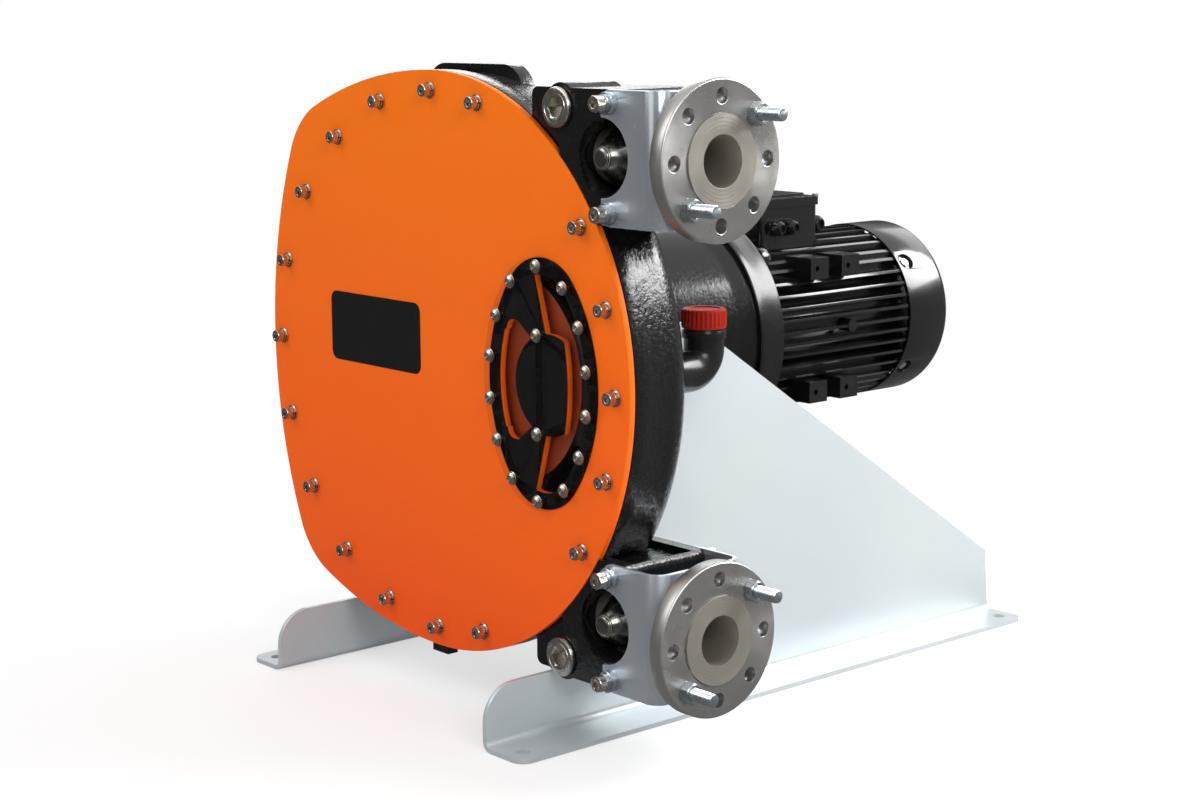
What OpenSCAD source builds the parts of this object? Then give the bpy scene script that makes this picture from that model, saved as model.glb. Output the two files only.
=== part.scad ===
// Peristaltic hose pump with a 65 mm hose, a coaxial geared motor and a folded sheet-metal stand.
// Millimetres, +Z up. The origin is the middle of the four foot bolts, on the ground.
// Inside the modules the pump's own axes are used: X = 0 and Z = 0 on the drive axis, and
// Y = 0 on the front face of the cover, with +Y running back to the motor.

/* [Stand] */
// Height of the drive axis above the ground
axis_h = 435; // [425:1:480]
// Distance between the foot bolts, side to side
foot_pitch_x = 531; // [520:1:560]
// Distance between the foot bolts, front to back
foot_pitch_y = 894; // [880:1:940]
// Front foot bolts, behind the front face of the cover (negative is in front)
foot_front_y = -78; // [-100:1:-60]
// Diameter of the foot bolt holes
foot_hole_d = 18; // [14:1:22]
// Outer face of each upright sheet, from the middle
web_x = 225; // [215:1:235]
// Thickness of the stand's sheet
sheet_t = 6; // [4:0.5:8]
// Height of the low strip of each upright, under the pump
strip_h = 80; // [60:1:84]

/* [Cover] */
// How far the cover reaches beyond the ports' centre lines
cover_over = 94; // [90:1:104]
// Thickness of the cover
cover_t = 8; // [6:0.5:10]
// Thickness of the cover's gasket
gasket_t = 1.5; // [1:0.25:2]
// Cover screws, in from the edge of the cover's right half
screw_in = 25; // [20:1:28]
// Thread diameter of the cover screws
cover_screw_d = 10; // [8:1:12]

/* [Hose and casing] */
// Height of each port above or below the drive axis
port_h = 276; // [274:1:280]
// Hose centre line behind the cover's front face
port_y = 56; // [55:0.5:60]
// Outer diameter of the hose
hose_od = 86; // [82:1:88]
// Bore of the hose
hose_id = 64; // [58:1:66]
// Thickness of the casing's rear wall
rear_wall = 14.5; // [12.5:0.5:24]
// Radius of the rounding at the casing's rear edge
casing_round = 42; // [30:1:46]

/* [Rotor] */
// Gap between the rotor wheel and the round hose
wheel_gap = 9; // [7:1:20]
// Thickness of the rotor wheel
wheel_t = 44; // [36:1:50]
// Width of each pressing shoe along the axis
shoe_w = 59; // [54:1:62]
// Radius of a pressing shoe's curved face
shoe_curve_r = 130; // [120:1:134]
// Diameter of the drive shaft
shaft_d = 70; // [60:1:80]

/* [Ports] */
// Flange outer diameter
flange_od = 185; // [180:1:190]
// Flange bolt circle diameter
flange_pcd = 145; // [140:1:150]
// Flange bolt hole diameter
flange_hole_d = 18; // [16:1:19]
// Flange thickness
flange_t = 20; // [16:1:22]
// Flange front face, from the drive axis
flange_x = 461; // [458:1:480]
// Bore of the steel hose inserts
insert_bore_d = 60; // [50:1:61]
// Diameter of the raised collar in each flange
collar_d = 106; // [100:1:110]
// Thickness of the folded port brackets
bracket_t = 5; // [4:0.5:6]
// Thread diameter of the flange studs
stud_d = 16; // [12:1:16]

/* [Window] */
// Window centre, to the right of the drive axis
window_x = 214; // [210:1:216]
// Half width of the window pane
pane_a = 102; // [98:1:104]
// Half height of the window pane
pane_b = 154; // [150:1:158]
// Thickness of the window pane
pane_t = 8; // [6:0.5:10]

/* [Gearbox and motor] */
// Outer radius of the gearbox
gearbox_r = 150; // [140:1:154]
// Front of the motor adaptor, behind the cover's front face
adaptor_y = 422; // [410:1:430]
// Thickness of the adaptor's rim
adaptor_t = 48; // [40:1:52]
// Radius over the motor's fins
fin_r = 126; // [122:1:130]
// Length of the motor's finned body
fin_len = 270; // [260:1:300]
// Number of fins down each side of the motor
fin_count = 11; // [9:1:13]
// Length of the fan cowl
cowl_len = 88; // [80:1:94]

/* [Oil filler] */
// Filler pipe, to the right of the drive axis
filler_x = 300; // [294:1:302]
// Outer diameter of the filler elbow
elbow_d = 50; // [44:1:50]
// Distance of the upright leg behind the casing
elbow_reach = 71; // [60:1:80]
// Diameter of the filler cap
cap_d = 56; // [52:1:58]

/* [Hidden] */
$fn = 64;

// Clearances
running = 0.05;          // radial clearance of a shaft in its bore
hole_gap = 0.1;          // radial clearance of a threaded shank in its hole
loose = 0.3;             // clearance of curved faces that only lie near each other
hose_gap = 0.5;          // hose to casing
cover_gap = 1.5;         // cover's rim to the port blocks

// Places along Y
cover_face_y = -foot_pitch_y / 2 - foot_front_y;
casing_y = cover_t + gasket_t;
flange_depth = 22;       // thickness of the casing's bolting flange

// Casing
cover_r = port_h + cover_over;
screw_circle_r = cover_r - screw_in;
drum_r = cover_r - 4;
hose_r = hose_od / 2;
track_r = port_h + hose_r + hose_gap;
tunnel_r = hose_r + hose_gap;
cavity_back = port_y + tunnel_r;
casing_d = cavity_back + rear_wall;
thread_len = rear_wall - 3.5; // bolts in the rear wall
block_half = 78;         // half height of a port block
block_left = cover_r - 123; // left side of a port block, in line with its barrel
bracket_x0 = cover_r - 44; // left edge of a bracket's front plate
bracket_x1 = flange_x - 40;
bracket_bend = 20;       // outer radius of a bracket's bends
block_right = bracket_x0 + 34;
block_depth = 130;       // back of the block's outer end, behind the drum
pocket_depth = 8;        // shallow pocket in the side that faces the other port
peep_r = 44;             // round opening in the port block's front wall
cutout_r = 46;           // matching cut-out in the bracket
ear_dx = 17;             // bracket screws from the bracket's left edge
ear_dz = 62.5;           // bracket screws from the port's centre line
barrel_z = port_h + 55;  // cross barrel that holds the port plug
barrel_r = 29;
barrel_len = 82;
plug_r = 24;
plug_bore_r = 19;
lug_half = 99;
lug_top = cover_r + 6.5;
lug_y = 69;
lug_t = 20;
tab_x0 = -27;            // cast tab under the drum
tab_x1 = 5;
tab_t = 16;

// Outline of the cover's left half: shallow arcs above, below and at the side, with round corners
long_r = cover_r + 290;
side_r = cover_r + 295;
side_left = cover_r - 2;
corner_r = 115;

// Cover screws, as angles from the port side
left_screws = [for (i = [0 : 10]) 90 + 18 * i];
right_screws = [-74.2, -34.2, -17.1, 0, 17.1, 34.2, 74.2];
cover_angles = concat(left_screws, right_screws);
washer_t = 2.5;
washer_r = 10.5;
spring_washer_r = 9;
cover_head_h = cover_screw_d;
cover_head_r = 0.8 * cover_screw_d;

// Window
pane_end_r = 75;
pane_seal_t = 1.5;
window_land = 21;        // land under the pane's rim
window_screw_in = 11;    // rim screws from the pane's edge
window_screw_d = 8;
window_washer_t = 1.6;
bridge_r = 62;           // round middle of the bridge across the opening
bridge_arc_r = 260;      // its right edge, about the drive axis
bridge_dx = 12;
window_steps = [10.6, 32.7, 58];
window_screw_angles = concat([90, 270],
    [for (a = window_steps, q = [0, 180]) q + a], [for (a = window_steps, q = [0, 180]) q - a]);
bridge_screw_z = 60;

// Ports
insert_r = 36;
barb_x = 205;
hose_end_x = 280;
tongue_x = block_right - bracket_x0;
spacer_r = 13;
stud_out = 45;           // stud standing out of the flange
nut_af = 24;
nut_t = 13;
open_holes = [0, 1, 2, 4, 5, 6];
stud_holes = [3, 7];

// Bearings, gearbox and motor
bearing_w = 24;
bearing_ro = 70;
housing_len = 150;
joint_y = casing_d + housing_len;
housing_flange_r = 180;
housing_flange_t = 20;
housing_bolt_r = 166;
adaptor_r = 167;
adaptor_rear_r = 162;
motor_y = adaptor_y + adaptor_t;
shield_t = 30;
shield_r = 139;
rear_shield_r = fin_r - 8;
body_y = motor_y + shield_t;
body_end = body_y + fin_len;
core_r = 104;
fin_w = 4;
motor_shaft_r = 19;
motor_bearing_ro = 42;
rotor_core_r = 60;
air_gap = 0.5;
cowl_y = body_end;
cowl_end = cowl_y + cowl_len;
cowl_r = fin_r + 1.5;
cowl_wall = 2.5;
cowl_round = 14;
pad_z = 87;
pad_y = [body_y + 74, body_y + 137];
pad_x = fin_r + 3;
box_y = body_y + 30;
box_len = 114;
box_half = 58;
box_base = fin_r - 18;
box_top = 168;
lid_t = 16;

// Rotor
squeeze_t = 2 * (hose_r - hose_id / 2) + 1;
shoe_reach = track_r - hose_gap - squeeze_t - 2 * loose;
shoe_centre = shoe_reach - shoe_curve_r;
wheel_r = port_h - hose_r - wheel_gap;
wheel_y = port_y - wheel_t / 2;
seat_x = wheel_r - 14;   // flat seats of the shoes
lobe_r = 132;            // lobed plate in front of the shoes
lobe_x = wheel_r - 88;
lobe_y = 15;
lobe_t = port_y - shoe_w / 2 - loose - lobe_y;
lobe_screw = [lobe_x + 106, 32];
shaft_r = shaft_d / 2;
shaft_front = wheel_y - 6;
hub_r = 78;
rotor_cap_r = 52;
key_w = 20;
key_h = 12;

// Stand
foot_w = 67;             // foot width outside the upright
foot_end = 25;           // foot bolts to the foot's ends
bend_r = 14;             // outer radius of the foot's bend
back_flange_w = 36;      // inner tab bolted to the casing's rear wall
web_top = axis_h + 55;
web_peak_y = 237;
web_rear_z = 94;
web_front_r = 45;

// Filler
elbow_z = 8;
elbow_top = 60;
elbow_wall = 4;
elbow_y = casing_d + elbow_reach;
cap_h = 24;

// Places the pump's own axes in the part's frame
module at_pump() translate([0, cover_face_y, axis_h]) children();

// A drawing in the XZ plane, thickened from y0 back to y1
module slab(y0, y1) translate([0, y1, 0]) rotate([90, 0, 0]) linear_extrude(y1 - y0) children();

// A drawing in the YZ plane, thickened from x0 to x1
module side_slab(x0, x1) translate([x0, 0, 0]) rotate([90, 0, 90]) linear_extrude(x1 - x0) children();

// Turned shapes: the profile's first number is the radius, its second the distance along the axis
module turned_y() rotate([-90, 0, 0]) rotate_extrude($fn = 96) children();
module turned_x() rotate([0, 90, 0]) rotate_extrude($fn = 96) children();

// Round bars along Y and X
module bar_y(r, y0, y1) translate([0, y0, 0]) rotate([-90, 0, 0]) cylinder(r = r, h = y1 - y0);
module bar_x(r, x0, x1) translate([x0, 0, 0]) rotate([0, 90, 0]) cylinder(r = r, h = x1 - x0);

// Hexagonal bar along Y and X, by its width across the flats
module hex_y(af, y0, y1) translate([0, y0, 0]) rotate([-90, 0, 0])
    cylinder(r = af / sqrt(3), h = y1 - y0, $fn = 6);
module hex_x(af, x0, x1) translate([x0, 0, 0]) rotate([0, 90, 0])
    cylinder(r = af / sqrt(3), h = x1 - x0, $fn = 6);

// Both ports, from one drawing of the upper one
module both_ports() { children(); mirror([0, 0, 1]) children(); }
module at_port() translate([0, port_y, port_h]) children();
module lower() mirror([0, 0, 1]) children();

// Rectangle with round corners
module round_rect(x0, y0, x1, y1, r) {
    translate([x0 + r, y0]) square([x1 - x0 - 2 * r, y1 - y0]);
    translate([x0, y0 + r]) square([x1 - x0, y1 - y0 - 2 * r]);
    for (x = [x0 + r, x1 - r], y = [y0 + r, y1 - r]) translate([x, y]) circle(r);
}

// Where a circle of radius ra about a meets one of radius rb about b, on the upper left side
function circle_meet(a, ra, b, rb) =
    let (d = norm(b - a), u = (b - a) / d, m = (d * d + ra * ra - rb * rb) / (2 * d),
         h = sqrt(ra * ra - m * m))
    [a.x + m * u.x - h * u.y, a.y + m * u.y + h * u.x];

// The cover's outline, grown by g
module cover_outline(g = 0) {
    low = [0, cover_r - long_r];
    side = [side_r - side_left, 0];
    f = circle_meet(low, long_r - corner_r, side, side_r - corner_r);
    d1 = (f - low) / norm(f - low);
    d2 = (f - side) / norm(f - side);
    reach = 2 * corner_r;
    intersection() {
        circle(cover_r + g, $fn = 128);
        translate([0, -500]) square([500, 1000]);
    }
    difference() {
        intersection() {
            translate(low) circle(long_r + g, $fn = 256);
            translate(-low) circle(long_r + g, $fn = 256);
            translate(side) circle(side_r + g, $fn = 256);
            translate([-500, -500]) square([500, 1000]);
        }
        // round each corner off, between the two directions in which its arc ends
        for (m = [0, 1]) mirror([0, m]) difference() {
            polygon([f, f + reach * d1, f + reach * (d1 + d2), f + reach * d2]);
            translate(f) circle(corner_r + 0.2 + g, $fn = 96);
        }
    }
}

// Upright oval of four arcs: half width a, half height b, radius r1 at the ends
module oval(a, b, r1) {
    r2 = (a * a + (b - r1) * (b - r1) - r1 * r1) / (2 * (a - r1));
    k = [r2 - a, b - r1] / norm([r2 - a, b - r1]);
    band = k[1] * r2;
    for (s = [-1, 1]) translate([0, s * (b - r1)]) circle(r1);
    intersection() {
        translate([a - r2, 0]) circle(r2, $fn = 128);
        translate([r2 - a, 0]) circle(r2, $fn = 128);
        square([2 * a, 2 * band], center = true);
    }
}
module window_oval(inset) translate([window_x, 0]) oval(pane_a - inset, pane_b - inset, pane_end_r - inset);

// The two openings under the pane, either side of the bridge
module window_opening() {
    difference() {
        window_oval(window_land);
        intersection() {
            translate([window_x + bridge_dx, 0]) circle(bridge_r);
            circle(bridge_arc_r, $fn = 128);
        }
        for (m = [0, 1]) mirror([0, m]) {
            polygon([
                [window_x - 46, 74], [window_x - 22, 56], [window_x + 8, 46], [window_x + 6, 62],
                [window_x - 15, pane_b - 19], [window_x - 15, pane_b],
                [window_x - pane_a, pane_b], [window_x - pane_a, 74]]);
            difference() {
                translate([window_x - 73, 61]) square([19, 14]);
                translate([window_x - 55, 61]) circle(12.5);
            }
        }
    }
}

// Socket-head screw along Y: head in front of y0, shank back to y1
module socket_screw(d, head_h, y0, y1) {
    head_r = 0.8 * d;
    difference() {
        union() {
            bar_y(head_r - 0.6, y0 - head_h, y0);
            bar_y(head_r, y0 - head_h + 0.8, y0);
        }
        hex_y(0.8 * d, y0 - head_h - 1, y0 - head_h / 2);
    }
    bar_y(d / 2 - hole_gap, y0, y1);
}

// Hexagon-head screw along Y: head behind y1, shank forward to y0
module hex_screw(d, head_h, y0, y1) {
    bar_y(d / 2 - hole_gap, y0, y1);
    bar_y(1.1 * d, y1, y1 + 2);
    hex_y(1.6 * d, y1 + 2, y1 + 2 + head_h);
}

// Places of things that repeat
module at_cover_screws() for (a = cover_angles) rotate([0, -a, 0]) translate([screw_circle_r, 0, 0]) children();
module at_window_screws() {
    for (a = window_screw_angles)
        translate([window_x + (pane_a - window_screw_in) * cos(a), 0, (pane_b - window_screw_in) * sin(a)])
            children();
    for (s = [-1, 1]) translate([window_x, 0, s * bridge_screw_z]) children();
}
module at_bracket_screws() for (s = [-1, 1]) translate([bracket_x0 + ear_dx, 0, port_h + s * ear_dz]) children();
module at_flange_holes(list) for (k = list)
    rotate([45 * k, 0, 0]) translate([0, 0, flange_pcd / 2]) children();
module at_frame_bolts() for (s = [-1, 1], z = [-190, -110, 5])
    translate([s * (web_x - sheet_t - 17), 0, z]) children();
module at_housing_bolts() for (i = [0 : 7]) rotate([0, 22.5 + 45 * i, 0]) translate([housing_bolt_r, 0, 0]) children();
module at_motor_corners(r) for (a = [45 : 90 : 315]) rotate([0, a, 0]) translate([r, 0, 0]) children();

// Casing
module drum_profile() {
    intersection() {
        union() {
            translate([0, casing_y]) square([drum_r, casing_d - casing_y - casing_round]);
            translate([0, casing_y]) square([drum_r - casing_round, casing_d - casing_y]);
            translate([drum_r - casing_round, casing_d - casing_round]) circle(casing_round);
        }
        square([drum_r + 1, casing_d + 1]);
    }
}
module port_block() {
    slab(casing_y, 2 * port_y) round_rect(block_left - 60, port_h - block_half, block_right,
        port_h + block_half, 10);
    slab(casing_y, block_depth) round_rect(block_left + 4, port_h - block_half, block_right,
        port_h + block_half, 10);
    slab(0, casing_y + 1) difference() {
        round_rect(block_left, port_h - block_half, block_right, port_h + block_half, 6);
        cover_outline(cover_gap);
    }
    translate([block_left, 0, barrel_z]) {
        bar_y(barrel_r, 3, barrel_len);
        bar_y(barrel_r - 2.5, 0.5, 4);
    }
}
module port_block_cuts() {
    at_port() bar_x(tunnel_r, 0, block_right + 1);
    slab(casing_y - 1, port_y) translate([0, port_h - tunnel_r]) square([170, 2 * tunnel_r]);
    translate([bracket_x0, 0, port_h]) bar_y(peep_r, -1, port_y - 20);
    translate([block_left, 0, barrel_z]) {
        bar_y(plug_bore_r, -1, 34);
        bar_y(plug_r + 2, -1, 0.5);
    }
    at_bracket_screws() {
        bar_y(6, -1, 26);
        bar_y(6, block_depth - 26, block_depth + 1);
    }
    translate([block_left + 34, 18, port_h - block_half - 1])
        cube([block_right - block_left - 40, block_depth - 34, pocket_depth + 1]);
}
module lifting_lug() slab(lug_y, lug_y + lug_t) difference() {
    union() {
        translate([-lug_half, drum_r - 116]) square([2 * lug_half, lug_top - drum_r + 76]);
        round_rect(-lug_half, drum_r - 116, lug_half, lug_top, 40);
    }
    translate([0, lug_top - 26]) circle(11);
}
module casing() at_pump() color([0.06, 0.06, 0.065]) {
    difference() {
        union() {
            slab(casing_y, casing_y + flange_depth) cover_outline();
            turned_y() drum_profile();
            both_ports() port_block();
            difference() {
                lifting_lug();
                translate([0, 0, lug_top - 26]) bar_y(11, lug_y - 1, lug_y + lug_t + 1);
            }
            slab(casing_y, casing_y + tab_t) translate([tab_x0, -cover_r - 14]) square([tab_x1 - tab_x0, 50]);
        }
        bar_y(track_r, casing_y - 1, cavity_back);
        bar_y(shaft_r + 22, cavity_back - 1, casing_d + 1);
        both_ports() port_block_cuts();
        at_cover_screws() bar_y(cover_screw_d / 2, casing_y - 1, casing_y + 25);
        translate([filler_x, 0, elbow_z]) bar_y(elbow_d / 2 - elbow_wall, cavity_back - 1, casing_d + 1);
        at_frame_bolts() bar_y(6, casing_d - thread_len - 1, casing_d + 1);
        at_housing_bolts() bar_y(6, casing_d - thread_len - 1, casing_d + 1);
    }
}

// Cover, its gasket and its screws
module cover_gasket() at_pump() color([0.1, 0.1, 0.1]) slab(cover_t, casing_y) difference() {
    cover_outline(-1);
    circle(track_r + 6);
    for (m = [0, 1]) mirror([0, m]) translate([0, port_h - tunnel_r]) square([172, 2 * tunnel_r]);
    for (a = cover_angles) rotate(a) translate([screw_circle_r, 0]) circle(cover_screw_d / 2 + 0.5);
}
module cover_plate() at_pump() color([0.93, 0.33, 0.07]) difference() {
    slab(0, cover_t) cover_outline();
    slab(-1, cover_t + 1) window_opening();
    at_cover_screws() bar_y(cover_screw_d / 2 + 0.5, -1, cover_t + 1);
    at_window_screws() bar_y(window_screw_d / 2, -1, cover_t + 1);
}
module cover_screws() at_pump() color([0.72, 0.72, 0.7])
    at_cover_screws() socket_screw(cover_screw_d, cover_head_h, -2 * washer_t, casing_y + 22);
module cover_washers() at_pump() color([0.75, 0.75, 0.73]) at_cover_screws() difference() {
    union() {
        bar_y(washer_r, -washer_t, 0);
        bar_y(spring_washer_r, -2 * washer_t, -washer_t);
    }
    bar_y(cover_screw_d / 2 + 0.4, -2 * washer_t - 1, 1);
}

// Window
module window_gasket() at_pump() color([0.05, 0.05, 0.05]) difference() {
    slab(-pane_seal_t, 0) difference() {
        window_oval(1);
        window_opening();
    }
    at_window_screws() bar_y(window_screw_d / 2 + 0.4, -pane_seal_t - 1, 1);
}
module window_pane() at_pump() color([0.12, 0.1, 0.1, 0.45]) difference() {
    slab(-pane_seal_t - pane_t, -pane_seal_t) window_oval(0);
    at_window_screws() bar_y(window_screw_d / 2 + 0.4, -pane_seal_t - pane_t - 1, 0);
}
module window_screws() at_pump() color([0.75, 0.75, 0.73]) at_window_screws() {
    translate([0, -pane_seal_t - pane_t, 0]) {
        difference() {
            rotate([180, 0, 0]) turned_y() {
                square([window_screw_d + 0.6, window_washer_t]);
                intersection() {
                    translate([0, -3.4]) circle(10);
                    square([window_screw_d - 0.4, 6]);
                }
            }
            hex_y(0.62 * window_screw_d, -8, -3);
        }
        bar_y(window_screw_d / 2 - hole_gap, -0.1, pane_t + pane_seal_t + cover_t - 0.5);
    }
}
module label_plate() at_pump() color([0.03, 0.03, 0.03])
    slab(-0.8, 0) round_rect(-227, -18, -30, 74, 12);

// Hose: a swept tube, squeezed flat where the left shoe presses it against the track
pinch_span = 54;
leg_x = hose_end_x;
function squeeze(a) = abs(a) < pinch_span ? pow(cos(90 * a / pinch_span), 2) : 0;
arc_steps = 36;
arc_angles = [for (i = [0 : arc_steps]) 90 + 180 * i / arc_steps];
leg_steps = 3;
// Each station: centre, outward direction, half thickness and half width
function station(a, wall) =
    let (q = squeeze(a - 180), full = 2 * (hose_r - wall), flat = squeeze_t - 2 * wall,
         t = full + (flat - full) * q, mid = track_r - hose_gap - wall - t / 2)
    [[mid * cos(a), mid * sin(a)], [cos(a), sin(a)], t / 2, hose_r - wall];
function stations(wall) = concat(
    [for (i = [0 : leg_steps - 1]) [[leg_x * (1 - i / leg_steps), port_h], [0, 1], hose_r - wall, hose_r - wall]],
    [for (a = arc_angles) station(a, wall)],
    [for (i = [1 : leg_steps]) [[leg_x * i / leg_steps, -port_h], [0, -1], hose_r - wall, hose_r - wall]]);
ring_n = 20;
function ring(s, wall) = [for (j = [0 : ring_n - 1])
    let (b = 360 * j / ring_n, o = s[2] * cos(b), w = s[3] * sin(b))
    [s[0].x + o * s[1].x, port_y + w, s[0].y + o * s[1].y]];
module swept(rows, wall) {
    pts = [for (s = rows) each ring(s, wall)];
    last = len(rows) - 1;
    walls = [for (i = [0 : last - 1], j = [0 : ring_n - 1])
        [i * ring_n + j, (i + 1) * ring_n + j, (i + 1) * ring_n + (j + 1) % ring_n, i * ring_n + (j + 1) % ring_n]];
    caps = [[for (j = [0 : ring_n - 1]) j], [for (j = [ring_n - 1 : -1 : 0]) last * ring_n + j]];
    polyhedron(pts, concat(walls, caps), convexity = 8);
}
module pump_hose() at_pump() color([0.04, 0.04, 0.04]) difference() {
    swept(stations(0), 0);
    swept(stations(hose_r - hose_id / 2), hose_r - hose_id / 2);
    both_ports() at_port() bar_x(hose_id / 2 + hole_gap, barb_x - 2, leg_x + 1);
}

// Rubber rings that close the hose's outlets
module hose_seals() at_pump() color([0.05, 0.05, 0.05]) both_ports() at_port() difference() {
    bar_x(tunnel_r - running, hose_end_x + 1, hose_end_x + 5);
    bar_x(insert_r + running, hose_end_x, hose_end_x + 6);
}

// Steel inserts that carry the hose's ends, with a cone-nosed boss in the bracket's cut-out
module hose_insert() {
    difference() {
        union() {
            at_port() turned_x() difference() {
                union() {
                    translate([0, barb_x]) square([hose_id / 2 - loose, hose_end_x - barb_x + 1]);
                    translate([0, hose_end_x + 1]) square([insert_r, flange_x - hose_end_x - 9]);
                    translate([0, bracket_x1 - bracket_t - 12]) square([insert_r + 4, 12]);
                    translate([0, flange_x - 8]) square([collar_d / 2, 10]);
                }
                translate([-1, barb_x - 1]) square([insert_bore_d / 2 + 1, flange_x - barb_x + 10]);
            }
            translate([bracket_x0, 0, port_h]) {
                translate([0, 28, 0]) rotate([90, 0, 0]) cylinder(r1 = 34, r2 = 12, h = 31);
                bar_y(12, -5, 0);
            }
        }
        at_port() bar_x(insert_bore_d / 2, barb_x - 1, flange_x + 3);
    }
}
module hose_insert_top() at_pump() color([0.62, 0.6, 0.56]) hose_insert();
module hose_insert_bottom() at_pump() color([0.62, 0.6, 0.56]) lower() hose_insert();

module port_flange() at_port() difference() {
    turned_x() difference() {
        translate([0, flange_x - flange_t]) square([flange_od / 2, flange_t]);
        translate([-1, flange_x - flange_t - 1]) square([insert_r + 1 + loose, flange_t + 2]);
        translate([-1, flange_x - 8 - loose]) square([collar_d / 2 + 1 + loose, 10]);
        translate([flange_od / 2, flange_x]) rotate(45) square(2, center = true);
        translate([flange_od / 2, flange_x - flange_t]) rotate(45) square(2, center = true);
    }
    at_flange_holes([0 : 7]) bar_x(flange_hole_d / 2, flange_x - flange_t - 1, flange_x + 1);
}
module port_flange_top() at_pump() color([0.7, 0.7, 0.68]) port_flange();
module port_flange_bottom() at_pump() color([0.7, 0.7, 0.68]) translate([0, 0, -2 * port_h]) port_flange();

// Folded bracket round the port block, drawn from above and cut from the sides
module port_bracket() difference() {
    intersection() {
        translate([0, 0, port_h - block_half]) linear_extrude(2 * block_half) difference() {
            round_rect(bracket_x0 - 60, -bracket_t, bracket_x1, block_depth + bracket_t, bracket_bend);
            round_rect(bracket_x0 - 61, 0, bracket_x1 - bracket_t, block_depth, bracket_bend - bracket_t);
            translate([bracket_x0 - 62, -50]) square([62, 300]);
        }
        slab(-bracket_t - 1, block_depth + bracket_t + 1) round_rect(bracket_x0, port_h - block_half,
            bracket_x1 + 20, port_h + block_half, 15);
    }
    translate([bracket_x0, 0, port_h]) bar_y(cutout_r, -bracket_t - 1, block_depth + bracket_t + 1);
    at_bracket_screws() bar_y(6.5, -bracket_t - 1, block_depth + bracket_t + 1);
    at_port() bar_x(insert_r + loose, bracket_x1 - bracket_t - 1, bracket_x1 + 1);
}
module port_bracket_top() at_pump() color([0.62, 0.66, 0.7]) port_bracket();
module port_bracket_bottom() at_pump() color([0.62, 0.66, 0.7]) lower() port_bracket();

spacer_len = 14;
module bracket_screws() at_pump() color([0.74, 0.74, 0.72]) both_ports() at_bracket_screws() {
    socket_screw(12, 12, -bracket_t - spacer_len, 24);
    translate([0, block_depth, 0]) mirror([0, 1, 0]) socket_screw(12, 12, -bracket_t - spacer_len, 24);
}
module bracket_spacer() difference() {
    union() {
        bar_y(spacer_r, -bracket_t - spacer_len + 4, -bracket_t);
        bar_y(10.5, -bracket_t - spacer_len, -bracket_t - spacer_len + 4);
    }
    bar_y(6.4, -bracket_t - spacer_len - 1, 0);
}
module bracket_spacers() at_pump() color([0.7, 0.72, 0.73]) both_ports() at_bracket_screws() {
    bracket_spacer();
    translate([0, block_depth, 0]) mirror([0, 1, 0]) bracket_spacer();
}

// Socket plugs in the cross barrels
module port_plug() translate([block_left, 0, barrel_z]) difference() {
    union() {
        turned_y() difference() {
            union() {
                translate([0, -6.5]) square([plug_r, 6]);
                translate([0, -0.6]) square([plug_bore_r - hole_gap, 20]);
            }
            translate([plug_r, -6.5]) rotate(45) square(3, center = true);
        }
    }
    hex_y(22, -8, 8);
}
module port_plug_top() at_pump() color([0.72, 0.7, 0.66]) port_plug();
module port_plug_bottom() at_pump() color([0.72, 0.7, 0.66]) lower() port_plug();
module plug_seals() at_pump() color([0.04, 0.04, 0.04]) both_ports() translate([block_left, 0, barrel_z])
    difference() {
        bar_y(plug_r - 1, -0.5, 0.5);
        bar_y(plug_bore_r + 0.2, -1, 1);
    }

// Studs through the flanges, each with a nut before and behind
module stud_nut(x) difference() {
    hex_x(nut_af, x, x + nut_t);
    bar_x(stud_d / 2 + hole_gap, x - 1, x + nut_t + 1);
}
module each_stud() for (s = [-1, 1]) translate([0, port_y, s * port_h]) at_flange_holes(stud_holes) children();
module flange_studs() at_pump() color([0.74, 0.78, 0.8]) each_stud() {
    bar_x(stud_d / 2, flange_x - flange_t - nut_t - 4, flange_x + stud_out - 2);
    bar_x(stud_d / 2 - 1.5, flange_x + stud_out - 2, flange_x + stud_out);
}
module stud_nuts() at_pump() color([0.66, 0.7, 0.74]) each_stud() {
    stud_nut(flange_x - flange_t - nut_t);
    stud_nut(flange_x);
}

// Stand: each side is one folded sheet
module web_outline() {
    y0 = foot_front_y - foot_end;
    y1 = y0 + foot_pitch_y + 2 * foot_end;
    front = web_front_r;
    union() {
        intersection() {
            translate([y0 + front, strip_h - front]) circle(front);
            translate([y0, bend_r]) square([2 * front, strip_h - bend_r]);
        }
        translate([y0, bend_r]) square([2 * front, strip_h - front - bend_r]);
        translate([y0 + front, bend_r]) square([casing_d + sheet_t + 20 - y0 - front, strip_h - bend_r]);
        polygon([[casing_d, bend_r], [y1 - 1, bend_r], [y1 - 8, web_rear_z],
            [web_peak_y, web_top], [casing_d, web_top]]);
    }
}
module foot_section() {
    difference() {
        union() {
            translate([web_x - sheet_t, bend_r]) square([sheet_t, 2]);
            translate([web_x - sheet_t + bend_r, 0]) square([foot_w + sheet_t - bend_r, sheet_t]);
            intersection() {
                translate([web_x - sheet_t + bend_r, bend_r]) circle(bend_r);
                translate([web_x - sheet_t, 0]) square([bend_r, bend_r]);
            }
        }
        translate([web_x - sheet_t + bend_r, bend_r]) circle(bend_r - sheet_t);
    }
}
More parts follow.
